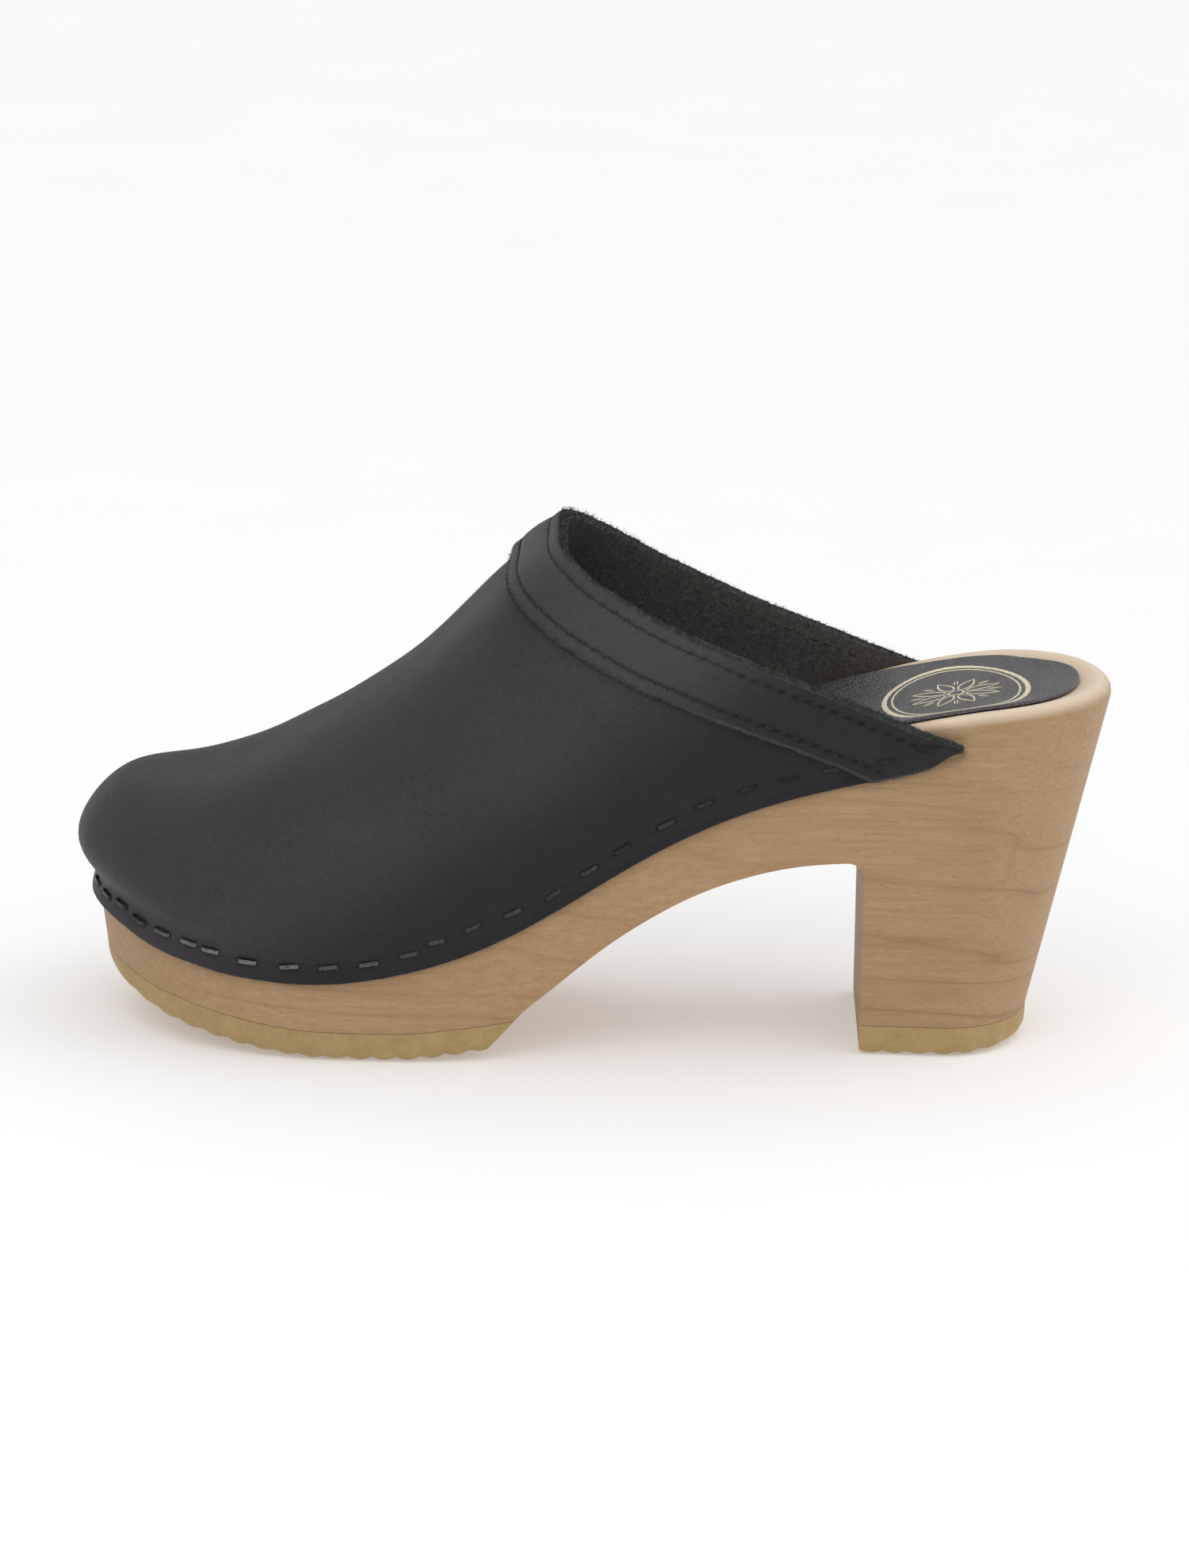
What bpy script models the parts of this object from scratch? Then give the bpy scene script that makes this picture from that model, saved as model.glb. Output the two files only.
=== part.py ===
"""Left slip-on wooden clog with a block heel, built as its separate pieces.

One carved wooden base, rubber soles, a stapled leather upper with a stitched
collar band, a sock, a toe stiffener, four sewing threads and the staples.

Design numbers are in millimetres; meshes are written in metres.
X runs from the toe (-X) to the heel (+X), +Z is up, the outer (lateral) side
faces -Y.  The origin lies on the floor under the middle of the clog.
Throughout, side is -1 for the outer side and 1 for the inner side.
"""
import bpy
import math
import numpy as np

for old in list(bpy.data.objects):
    bpy.data.objects.remove(old, do_unlink=True)

# ---------------------------------------------------------------- dimensions
MM = 0.001
SMOOTH_ANGLE = 35.0                  # degrees; steeper edges are shaded sharp
GAP = 0.3                            # clearance between neighbouring pieces

# plan of the wood
TIP_X, REAR_X = -120.9, 125.8        # front and rear ends at the rim
TOE_X0, TOE_P = -60.0, 2.3           # where the toe starts to round, and how squarely
HEEL_X0, HEEL_P = 95.0, 2.1
BREAST_X = 65.6                      # front face of the block heel
ARCH_X = -18.4                       # rear end of the front rubber
SHANK_X = 61.6                       # where the arch starts to round into the heel's front
FILLET_MID_X = 64.4                  # extra wall column within that rounding
BASE_Z = 7.2                         # wood of the heel ends here
TIP_BASE_X = -117.6                  # tip of the toe and rear of the heel at height BASE_Z
HEEL_END_X = 107.0
TOE_TAPER = (TOE_X0 - TIP_BASE_X) / (TOE_X0 - TIP_X)
HEEL_TAPER = (HEEL_END_X - BREAST_X) / (REAR_X - BREAST_X)
TAPER_X = (-120, -60, 0, BREAST_X, 126)
TAPER_Y = (0.955, 0.955, 0.94, 0.898, 0.87)      # width at BASE_Z over width at the rim

# footbed
DISH, DISH_HEEL = 1.8, 2.6           # hollow of the footbed, deeper under the heel
DISH_REACH, DISH_REACH_HEEL = 13.0, 9.0          # how far in from the edge it deepens
RIM_R = 2.4                          # rounded rim
RIM_MID = RIM_R * 0.29               # inset and drop of the middle of that rounding
SOCK_T = 1.2
SOCK_INSET = np.array([              # x, inset from the rim on the outer and inner side
    (60.0, 3.0, 3.0), (76.0, 3.0, 5.6), (90.0, 3.9, 6.8), (100.0, 5.4, 8.0),
    (108.0, 6.3, 9.2), (116.0, 6.8, 9.4), (124.0, 8.2, 8.2)])

# front rubber
TREAD_FRONT_X, TREAD_REAR_X = -64.0, -46.0       # flat on the floor between these
TIP_ROCKER_X = -101.0                # the tread curves up more steeply ahead of this
FRONT_T = 7.3                        # height of the wood above the tread
TIP_THIN_X, TIP_THIN_RUN, TIP_THIN = -100.0, 21.0, 1.2     # thinner towards the tip
REAR_THIN_X, REAR_THIN = -34.0, 0.8              # and towards its rear end
BEVEL_X = -24.9                      # the sloping cut of the rear end starts here
BEVEL_END_T = 1.0                    # thickness left at the rear end
CHAMFER_H, CHAMFER_H_END = 1.6, 0.5  # height of the chamfered lower edge, and at the rear end
CHAMFER_TIP = 1.1                    # the chamfer's depth at the tip
TREAD_SHRINK = 0.975                 # width of the tread over width above the chamfer

# heel rubber: height and plan scale of its outlines, from the top down
HEEL_ROWS = ((BASE_Z - GAP, 1.0), (1.0, 1.0), (0.0, 0.98))

# leather
LEATHER = 1.8
PROUD = LEATHER + GAP                # the upper's outer face stands this far off the wood
FEATHER_END_X = 88.0                 # rear end of the upper's stapled edge
TOP_END_X = 88.5                     # rear end of the upper's mouth edge
CAPSULE_X = -84.0                    # centre of the fan of ribs that rounds the toe
UPRIGHT_H = 7.0                      # the upper stands upright this far above its lower edge
BAND_W, BAND_W_TOP = 17.2, 15.8      # collar band, along the side and over the instep
ROW_IN = 3.6                         # each seam sits this far inside the band's edge
PUFF_T = 1.0                         # toe stiffener
PUFF_GAP = 0.95                      # between the upper's inner face and the stiffener

# threads
THREAD_R = 0.28
NEEDLE_OFFSET = PROUD + THREAD_R + GAP           # from the upper's outer face
BOBBIN_OFFSET = -(LEATHER + 0.4 + THREAD_R + GAP)

# staples
STAPLE_W, STAPLE_D, STAPLE_T, STAPLE_LEG = 5.0, 1.2, 0.6, 7.4
STAPLE_PROUD = 0.1                   # crown above the leather
STAPLE_SPAN = 1.5                    # the edge's direction is read this far to each side
HOLE_LIFT = 1.2                      # the hole cutters reach this much further out
BAND_EDGE_X = 68.5                   # behind this the band lies over the upper's edge
OVER_LEG = 0.6                       # share of the band's build-up added to the legs
# staples along each side: the first few by arc length round the toe, the rest by their x
STAPLE_TOE = {-1: (12.6, 20.9), 1: (4.3, 14.0, 24.0)}
STAPLE_X = {
    -1: (-115.2, -110.4, -104.1, -98.0, -92.2, -82.8, -73.2, -63.2, -53.7, -43.8, -37.0, -28.4,
         -18.7, -9.3, -1.0, 7.3, 17.5, 26.9, 36.9, 46.7, 56.8, 69.4, 80.0),
    1: (-110.5, -101.0, -91.3, -81.5, -71.7, -61.9, -52.1, -42.3, -32.5, -22.7, -12.9, -3.1,
        6.7, 16.5, 26.3, 36.3, 46.3, 56.8, 69.4, 80.0)}


# ----------------------------------------------------------- measured curves
def spline(points):
    """Natural cubic spline through (x, value) stations, straight past its ends."""
    knots, values = np.array(points, float).T
    count = len(knots)
    step = np.diff(knots)
    matrix = np.zeros((count, count))
    rhs = np.zeros(count)
    matrix[0, 0] = matrix[-1, -1] = 1.0
    for i in range(1, count - 1):
        matrix[i, i - 1:i + 2] = step[i - 1], 2 * (step[i - 1] + step[i]), step[i]
        rhs[i] = 6 * ((values[i + 1] - values[i]) / step[i]
                      - (values[i] - values[i - 1]) / step[i - 1])
    bend = np.linalg.solve(matrix, rhs)          # second derivatives at the knots
    slope_0 = (values[1] - values[0]) / step[0] - step[0] * (2 * bend[0] + bend[1]) / 6
    slope_1 = (values[-1] - values[-2]) / step[-1] + step[-1] * (bend[-2] + 2 * bend[-1]) / 6

    def evaluate(x):
        x = np.asarray(x, float)
        i = np.clip(np.searchsorted(knots, x) - 1, 0, count - 2)
        inside = np.clip(x, knots[0], knots[-1])
        after, before, width = inside - knots[i], knots[i + 1] - inside, step[i]
        value = ((bend[i] * before**3 + bend[i + 1] * after**3) / (6 * width)
                 + (values[i] / width - bend[i] * width / 6) * before
                 + (values[i + 1] / width - bend[i + 1] * width / 6) * after)
        return (value + np.where(x < knots[0], (x - knots[0]) * slope_0, 0)
                + np.where(x > knots[-1], (x - knots[-1]) * slope_1, 0))

    return evaluate


# plan of the wooden base, (x, y): half width and middle line
half_width = spline([
    (-130, 45.6), (-75, 45.6), (-60, 45.5), (-45, 45.0), (-30, 43.2), (-10, 39.2),
    (10, 35.4), (30, 32.5), (50, 31.2), (70, 31.4), (90, 32.4), (130, 32.4)])
mid_line = spline([
    (-122, 5.42), (-105, 3.62), (-90, 1.92), (-75, 0.62), (-60, -0.28), (-30, -1.38),
    (0, -1.78), (30, -1.38), (60, -0.58), (90, -0.58), (126, -0.58)])
# side profile, (x, z): lower edge of the leather, rim of the wood, arch
leather_edge_z = spline([
    (-121, 29.9), (-116, 28.3), (-106.7, 24.8), (-97, 22.6), (-88, 21.2), (-78.8, 20.5),
    (-68, 20.2), (-60, 20.8), (-41.5, 24.4), (-25, 30.1), (-8.9, 38.3), (9.7, 49.3),
    (28.3, 58.5), (46.9, 64.9), (60.9, 68.5), (74.9, 71.9), (84.2, 75.0), (92, 78.0)])
rim_z = spline([
    (-121, 38.0), (-106.7, 33.4), (-97, 31.4), (-88, 30.2), (-78.8, 29.6), (-60, 30.2),
    (-41.5, 33.9), (-25, 39.6), (-8.9, 47.8), (9.7, 58.8), (28.3, 68.0), (46.9, 74.8),
    (60.9, 79.2), (75, 83.3), (84, 85.3), (93, 87.0), (102, 88.2), (112, 89.1),
    (121, 89.5), (126, 89.5)])
arch_z = spline([
    (-18.4, 10.1), (-17.2, 11.4), (-11.6, 16.2), (0.15, 25.8), (11.2, 33.4), (21.8, 39.2),
    (29.1, 42.3), (37.6, 45.0), (46.9, 47.1), (56.3, 48.2), (61.6, 48.5)])
# (x, height) of the staples' crowns above the leather's lower edge
staple_z = spline([
    (-124, 3.9), (-116, 4.0), (-106, 4.4), (-97, 4.6), (-80, 4.4), (-54, 4.1), (-44, 4.8),
    (-33, 6.2), (-18, 5.5), (10, 5.6), (45, 5.7), (58, 5.2), (69, 5.1), (80, 5.9), (90, 6.0)])
# (x, z) of the upper's outer ridge, carried on as a virtual roof over the mouth
roof_z = spline([
    (-127, 60.6), (-116, 61.3), (-106.7, 60.8), (-97, 61.1), (-88, 63.5), (-78.8, 67.6),
    (-69.5, 73.0), (-60, 78.7), (-50.8, 85.0), (-41.5, 92.5), (-32.2, 101.7), (-22.9, 111.1),
    (-9, 121.9), (10, 134.0), (40, 148.0), (90, 158.0)])
# (x, z) of the mouth edge
topline_z = spline([
    (-12, 124.0), (-9.5, 122.9), (-5.2, 120.6), (0, 117.3), (5.4, 114.3), (13.1, 110.0),
    (20.8, 106.2), (28.5, 102.8), (36.2, 99.4), (43.9, 96.3), (51.5, 93.4), (59.2, 90.4),
    (66.8, 87.4), (74.5, 84.4), (82, 81.6), (90.5, 78.8)])
# along x: squareness of the upper's cross sections, sideways and upward, and outward swell
square_side = spline([(-123, 7.5), (-110, 6.0), (-90, 4.2), (-60, 3.2), (-30, 3.6),
                      (-10, 4.6), (10, 5.0), (90, 5.0)])
square_up = spline([(-122, 2.0), (-90, 2.1), (-60, 2.2), (-30, 2.5), (-10, 2.9),
                    (10, 3.0), (90, 3.0)])
bulge = spline([(-123, 3.6), (-110, 3.6), (-90, 2.8), (-60, 1.4), (-30, 0.5), (0, 0.0),
                (90, 0.0)])


# ------------------------------------------------------ profiles of the base
def tread_z(x):
    """Underside of the front rubber: flat under the ball, rockered up before and behind it."""
    x = np.asarray(x, float)
    return (0.0158 * np.clip(TREAD_FRONT_X - x, 0, None) ** 1.6
            + 0.025 * np.clip(x - TREAD_REAR_X, 0, None) ** 1.5
            + 0.028 * np.clip(TIP_ROCKER_X - x, 0, None) ** 1.5)


def wood_under_z(x):
    """Underside of the wood over the front rubber."""
    x = np.asarray(x, float)
    return (tread_z(x) + FRONT_T - TIP_THIN * np.clip((TIP_THIN_X - x) / TIP_THIN_RUN, 0, 1)
            - REAR_THIN * np.clip((x - REAR_THIN_X) / (ARCH_X - REAR_THIN_X), 0, 1))


def under_z(x):
    """Underside of the wood ahead of the heel, with a small fillet into the heel's front face."""
    x = np.asarray(x, float)
    radius = BREAST_X - SHANK_X
    drop = radius - np.sqrt(radius * radius - np.clip(x - SHANK_X, 0, radius) ** 2)
    fillet = float(arch_z(SHANK_X)) - drop
    return np.where(x < ARCH_X, wood_under_z(x), np.where(x <= SHANK_X, arch_z(x), fillet))


def rim_y(x, side):
    """Rim outline; the half width falls to 0 at the rounded toe and heel."""
    x = np.asarray(x, float)
    toe = np.clip((TOE_X0 - x) / (TOE_X0 - TIP_X), 0, 1)
    heel = np.clip((x - HEEL_X0) / (REAR_X - HEEL_X0), 0, 1)
    cap = (1 - toe**TOE_P) ** (1 / TOE_P) * (1 - heel**HEEL_P) ** (1 / HEEL_P)
    return mid_line(x) + side * half_width(x) * cap


# ------------------------------------------------------ plan outline and offsets
def toe_stations(count):
    angle = np.linspace(math.pi / 2, 0, count + 1)
    return TOE_X0 - (TOE_X0 - TIP_X) * np.sin(angle) ** (2 / TOE_P)


def stations(n_toe, n_mid, n_heel, marks=()):
    """x of each wall column, dense round the toe and heel.

    The marks join the middle part and push out stations that lie close to them.
    """
    angle = np.linspace(0, math.pi / 2, n_heel + 1)
    heel = HEEL_X0 + (REAR_X - HEEL_X0) * np.sin(angle) ** (2 / HEEL_P)
    clear = 0.45 * (HEEL_X0 - TOE_X0) / n_mid
    mid = [x for x in np.linspace(TOE_X0, HEEL_X0, n_mid + 1)[1:-1]
           if all(abs(x - mark) > clear for mark in marks)]
    return np.concatenate([toe_stations(n_toe), sorted(mid + list(marks)), heel])


def inward_normals(tangents, side):
    """Plan normals, into the clog, of an outline walked from toe to heel."""
    unit = tangents / np.linalg.norm(tangents, axis=1)[:, None]
    return np.stack([unit[:, 1] * side, -unit[:, 0] * side], 1)


def inset_outline(col_x, side, inset):
    """Rim outline moved inwards along its plan normal (the inset may vary along it)."""
    fine_x = stations(220, 240, 160)
    rim = np.stack([fine_x, rim_y(fine_x, side)], 1)
    tangents = np.gradient(rim, axis=0)
    tangents[0], tangents[-1] = (0, side), (0, -side)
    fine_inset = np.interp(fine_x, col_x, np.broadcast_to(inset, np.shape(col_x)))
    moved = rim + inward_normals(tangents, side) * fine_inset[:, None]
    rank = np.linspace(0, 1, len(fine_x))
    at = np.interp(col_x, fine_x, rank)
    return np.stack([np.interp(at, rank, moved[:, 0]), np.interp(at, rank, moved[:, 1])], 1)


loop_x = stations(120, 140, 80)
RIM_LOOP = np.concatenate([np.stack([loop_x, rim_y(loop_x, side)], 1) for side in (-1, 1)])


def edge_dist(x, y):
    points = np.stack([np.ravel(x), np.ravel(y)], 1)
    dist = np.sqrt(((points[:, None, :] - RIM_LOOP[None]) ** 2).sum(2)).min(1)
    return dist.reshape(np.shape(x))


def top_z(x, y):
    """Footbed surface: the rim's height less a shallow hollow."""
    heel = np.clip((np.asarray(x, float) - 20) / 50, 0, 1)
    depth = DISH + (DISH_HEEL - DISH) * heel
    reach = DISH_REACH + (DISH_REACH_HEEL - DISH_REACH) * heel
    return rim_z(x) - depth * (1 - np.exp(-((edge_dist(x, y) / reach) ** 2)))


def wall(x, side, z):
    """Point of the wood's side wall in column x at height z.

    Upright behind the leather, tapering below it.
    """
    x, z = np.asarray(x, float), np.asarray(z, float)
    y = rim_y(x, side)
    taper_top = np.minimum(leather_edge_z(x), rim_z(x) - RIM_R)
    base_x = np.where(x < TOE_X0, TOE_X0 + (x - TOE_X0) * TOE_TAPER,
                      np.where(x > BREAST_X, BREAST_X + (x - BREAST_X) * HEEL_TAPER, x))
    base_y = y * np.interp(x, TAPER_X, TAPER_Y)
    share = np.clip((taper_top - z) / (taper_top - BASE_Z), 0, None)
    return np.stack([x + (base_x - x) * share, y + (base_y - y) * share, z + 0 * x], -1)


def wall_foot(x, side, profile):
    """Where column x of the wall meets a lower profile z = profile(x)."""
    z = profile(x)
    for _ in range(12):
        z = profile(wall(x, side, z)[..., 0])
    return wall(x, side, z)


# ----------------------------------------------------------- mesh collection
class Shell:
    """Collects faces by their corner points, sharing corners that coincide."""

    def __init__(self):
        self.verts, self.index, self.faces = [], {}, []

    def vert(self, point):
        key = tuple(round(float(c), 3) for c in point)
        if key not in self.index:
            self.index[key] = len(self.verts)
            self.verts.append(tuple(float(c) * MM for c in point))
        return self.index[key]

    def face(self, *points):
        ids = []
        for point in points:
            i = self.vert(point)
            if i not in ids:
                ids.append(i)
        if len(ids) >= 3:
            self.faces.append(ids)

    def grid(self, g, flip=False):
        """Quads over g[i][j], facing along (i direction) x (j direction), or against it."""
        for i in range(len(g) - 1):
            for j in range(len(g[0]) - 1):
                quad = (g[i][j], g[i + 1][j], g[i + 1][j + 1], g[i][j + 1])
                self.face(*(quad[::-1] if flip else quad))


def columns(rows, start=0):
    """Turns rows of points, each running from toe to heel, into a grid of columns."""
    return [[row[i] for row in rows] for i in range(start, len(rows[0]))]


def across(outer, inner, count, lift=None):
    """Lines of count points from the outer to the inner side.

    With a lift, their inner points lie that far above the footbed surface.
    """
    lines = []
    for start, end in zip(outer, inner):
        line = [start + (end - start) * (w + 1) / 2 for w in np.linspace(-1, 1, count)]
        if lift is not None:
            for point in line[1:-1]:
                point[2] = float(top_z(point[0], point[1])) + lift
        lines.append(line)
    return lines


def make(name, verts, faces, mat):
    mesh = bpy.data.meshes.new(name)
    mesh.from_pydata(verts, [], faces)
    mesh.validate()
    mesh.update()
    obj = bpy.data.objects.new(name, mesh)
    bpy.context.scene.collection.objects.link(obj)
    if mat is not None:
        mesh.materials.append(mat)
    mesh.shade_smooth()
    mesh.set_sharp_from_angle(angle=math.radians(SMOOTH_ANGLE))
    return obj


def outward(obj):
    """Turns the faces of a closed mesh outward."""
    mesh = obj.data
    mesh.calc_loop_triangles()
    co = np.array([vert.co[:] for vert in mesh.vertices])
    tri = np.array([tri.vertices[:] for tri in mesh.loop_triangles])
    cross = np.cross(co[tri[:, 1]], co[tri[:, 2]])
    if np.einsum('ij,ij->i', co[tri[:, 0]], cross).sum() < 0:
        mesh.flip_normals()
    return obj


# ----------------------------------------------------------------- materials
def material(name, rgb, rough, metal=0.0):
    mat = bpy.data.materials.new(name)
    mat.use_nodes = True
    shader = mat.node_tree.nodes["Principled BSDF"]
    shader.inputs["Base Color"].default_value = (*rgb, 1)
    shader.inputs["Roughness"].default_value = rough
    shader.inputs["Metallic"].default_value = metal
    mat.diffuse_color = (*rgb, 1)
    return mat


MAT_WOOD = material("alder_wood", rgb=(0.44, 0.28, 0.17), rough=0.6)
MAT_RUBBER = material("crepe_rubber", rgb=(0.37, 0.29, 0.13), rough=0.75)
MAT_LEATHER = material("black_leather", rgb=(0.045, 0.045, 0.048), rough=0.5)
MAT_BAND = material("band_leather", rgb=(0.045, 0.045, 0.048), rough=0.52)
MAT_SOCK = material("sock_leather", rgb=(0.02, 0.022, 0.03), rough=0.4)
MAT_PUFF = material("stiffener_board", rgb=(0.5, 0.45, 0.36), rough=0.85)
MAT_THREAD = material("waxed_thread", rgb=(0.06, 0.05, 0.03), rough=0.7)
MAT_STEEL = material("staple_steel", rgb=(0.5, 0.49, 0.47), rough=0.35, metal=1.0)


# --------------------------------------------------------------- wooden base
def wood_base():
    col_x = stations(11, 20, 10, (ARCH_X, SHANK_X, FILLET_MID_X, BREAST_X))
    breast = int(np.argmin(abs(col_x - BREAST_X)))   # column of the heel's front face
    shelf = float(under_z(BREAST_X))                 # height of the corner where arch meets heel
    foot_row = 5                                     # rows below this belong to the heel only
    sides = {}
    for side in (-1, 1):
        inner = inset_outline(col_x, side, RIM_R)
        half = inset_outline(col_x, side, RIM_MID)
        edge = wall(col_x, side, np.minimum(leather_edge_z(col_x), rim_z(col_x) - RIM_R - 1.0))
        foot = wall_foot(col_x, side, under_z)
        foot[breast:] = wall(col_x[breast:], side, shelf)
        rows = [np.column_stack([inner, top_z(inner[:, 0], inner[:, 1])]),
                np.column_stack([half, rim_z(col_x) - RIM_MID]),
                wall(col_x, side, rim_z(col_x) - RIM_R),
                edge,
                wall(col_x, side, 0.5 * (edge[:, 2] + foot[:, 2])),
                foot]
        rows += [wall(col_x, side, shelf + (BASE_Z - shelf) * k) for k in (0.5, 1.0)]
        for row in rows:                             # both sides share the end columns
            row[0, 1], row[-1, 1] = mid_line(TIP_X), mid_line(REAR_X)
        sides[side] = rows
    shell = Shell()
    for side, rows in sides.items():
        shell.grid(columns(rows[:foot_row + 1]), flip=side < 0)
        shell.grid(columns(rows[foot_row:], breast), flip=side < 0)
    outer, inner = sides[-1], sides[1]
    shell.grid(across(outer[0], inner[0], 9, lift=0.0))
    shell.grid(across(outer[foot_row][:breast + 1], inner[foot_row][:breast + 1], 9), flip=True)
    shell.grid(across(outer[-1][breast:], inner[-1][breast:], 9), flip=True)
    front = [[row[breast] for row in rows[foot_row:]] for rows in (outer, inner)]
    shell.grid(across(*front, 9), flip=True)
    return make("wood_base", shell.verts, shell.faces, MAT_WOOD)


# -------------------------------------------------------------------- rubber
def rubber_piece(name, sides, count, end):
    """Closes the rows of both sides, top row first, with a flat face at column 0 or -1."""
    shell = Shell()
    for side, rows in sides.items():
        shell.grid(columns(rows), flip=side < 0)
    outer, inner = sides[-1], sides[1]
    shell.grid(across(outer[0], inner[0], count))
    shell.grid(across(outer[-1], inner[-1], count), flip=True)
    face = [[row[end] for row in rows] for rows in (outer, inner)]
    shell.grid(across(*face, count), flip=end == 0)
    return make(name, shell.verts, shell.faces, MAT_RUBBER)


def front_outsole():
    # the mark at TREAD_FRONT_X lies ahead of TOE_X0, so its column steps forward once
    col_x = stations(11, 26, 4, (TREAD_FRONT_X, TREAD_REAR_X, BEVEL_X, ARCH_X))
    col_x = col_x[col_x <= ARCH_X]
    bevel = col_x >= BEVEL_X
    share = (col_x[bevel] - BEVEL_X) / (ARCH_X - BEVEL_X)
    start_z = float(tread_z(BEVEL_X))
    sides = {}
    for side in (-1, 1):
        top = wall_foot(col_x, side, lambda x: wood_under_z(x) - GAP)
        foot = wall_foot(col_x, side, lambda x: tread_z(x) + CHAMFER_H)
        low = wall_foot(col_x, side, tread_z)
        middle = mid_line(low[:, 0])
        low[:, 1] = middle + (low[:, 1] - middle) * TREAD_SHRINK
        low[0, 0] += CHAMFER_TIP
        low[:, 2] = tread_z(low[:, 0])
        # the rear end is cut on a slope that carries on the arch
        cut_z = start_z + (top[bevel, 2] - BEVEL_END_T - start_z) * share
        low[bevel, 2] = cut_z
        foot[bevel] = wall(col_x[bevel], side,
                           cut_z + CHAMFER_H * (1 - share) + CHAMFER_H_END * share)
        sides[side] = [top, foot, low]
        for row in sides[side]:
            row[0, 1] = mid_line(TIP_X)
    return rubber_piece("front_outsole", sides, 9, end=-1)


def heel_top_piece():
    col_x = stations(4, 20, 10, (BREAST_X,))
    col_x = col_x[col_x >= BREAST_X]
    centre = 0.5 * (BREAST_X + HEEL_END_X)
    sides = {}
    for side in (-1, 1):
        base = wall(col_x, side, BASE_Z)
        sides[side] = [np.stack([centre + (base[:, 0] - centre) * scale, base[:, 1] * scale,
                                 np.full_like(col_x, z)], 1) for z, scale in HEEL_ROWS]
    return rubber_piece("heel_top_piece", sides, 7, end=0)


# ------------------------------------------------------- surface of the upper
FAN = (CAPSULE_X, float(mid_line(CAPSULE_X)))        # centre of the toe's fan in plan


class Side:
    """Plan line of the upper's outer face on one side, walked from the toe tip backwards."""

    def __init__(self, side):
        self.side = side
        x = np.concatenate([toe_stations(349),
                            np.linspace(TOE_X0, FEATHER_END_X + 6, 351)[1:]])
        rim = np.stack([x, rim_y(x, side)], 1)
        self.line = rim - inward_normals(np.gradient(rim, axis=0), side) * PROUD
        self.line[0] = [TIP_X - PROUD, float(mid_line(TIP_X))]
        steps = np.linalg.norm(np.diff(self.line, axis=0), axis=1)
        self.arc = np.concatenate([[0], np.cumsum(steps)])
        self.length = float(np.interp(FEATHER_END_X, self.line[:, 0], self.arc))
        fan_count = int(np.sum(self.line[:, 0] <= CAPSULE_X + 1e-9))
        self.straight = self.line[fan_count - 1:]
        self.toe = self.line[:fan_count + 1]
        from_fan = self.toe - FAN
        self.toe_angle = np.arctan2(from_fan[:, 1] * side, -from_fan[:, 0])

    def at(self, arc):
        """Plan point at an arc length."""
        return np.stack([np.interp(arc, self.arc, self.line[:, 0]),
                         np.interp(arc, self.arc, self.line[:, 1])], -1)

    def y_at(self, x):
        return np.interp(x, self.straight[:, 0], self.straight[:, 1])

    def ribs_through(self, x, y):
        """Foot and ridge point of the rib over each (x, y), and its share from ridge to foot."""
        straight = x >= CAPSULE_X
        angle = np.arctan2((y - FAN[1]) * self.side, -(x - FAN[0]))
        fan_x = np.interp(angle, self.toe_angle, self.toe[:, 0])
        fan_y = np.interp(angle, self.toe_angle, self.toe[:, 1])
        foot = np.stack([np.where(straight, x, fan_x), np.where(straight, self.y_at(x), fan_y)], 1)
        ridge = np.stack([np.where(straight, x, FAN[0]),
                          np.where(straight, mid_line(x), FAN[1])], 1)
        share = (np.hypot(x - ridge[:, 0], y - ridge[:, 1])
                 / np.hypot(foot[:, 0] - ridge[:, 0], foot[:, 1] - ridge[:, 1]))
        return foot, ridge, share


SIDES = {side: Side(side) for side in (-1, 1)}


def rib_sections(foot, ridge, count=120):
    """Ribs from plan points foot up and over to plan points ridge, with their arc fractions."""
    n_upright = 14                                   # points on the upright part
    foot_x = foot[:, 0]
    edge_z = leather_edge_z(foot_x)[:, None]
    spring_z = edge_z + UPRIGHT_H
    angle = np.linspace(0, 1, count - n_upright) * math.pi / 2
    sideways = np.cos(angle) ** (2 / square_side(foot_x)[:, None])
    sideways[:, -1] = 0
    upward = np.sin(angle) ** (2 / square_up(foot_x)[:, None])
    length = np.linalg.norm(foot - ridge, axis=1)[:, None]
    swell = bulge(foot_x)[:, None] * np.sin(math.pi * upward**0.75) ** 1.6
    reach = sideways + swell / np.maximum(length, 1) * sideways**0.5
    plan = ridge[:, None, :] + reach[:, :, None] * (foot - ridge)[:, None, :]
    z = spring_z + (roof_z(plan[:, :, 0]) - spring_z) * upward
    dome = np.concatenate([plan, z[:, :, None]], 2)
    low_z = edge_z + UPRIGHT_H * np.linspace(0, 1, n_upright + 1)[None, :-1]
    low = np.concatenate([np.repeat(foot[:, None, :], n_upright, 1), low_z[:, :, None]], 2)
    points = np.concatenate([low, dome], 1)
    steps = np.linalg.norm(np.diff(points, axis=1), axis=2)
    arc = np.concatenate([np.zeros((len(foot), 1)), np.cumsum(steps, 1)], 1)
    return points, arc / arc[:, -1:]


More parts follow.
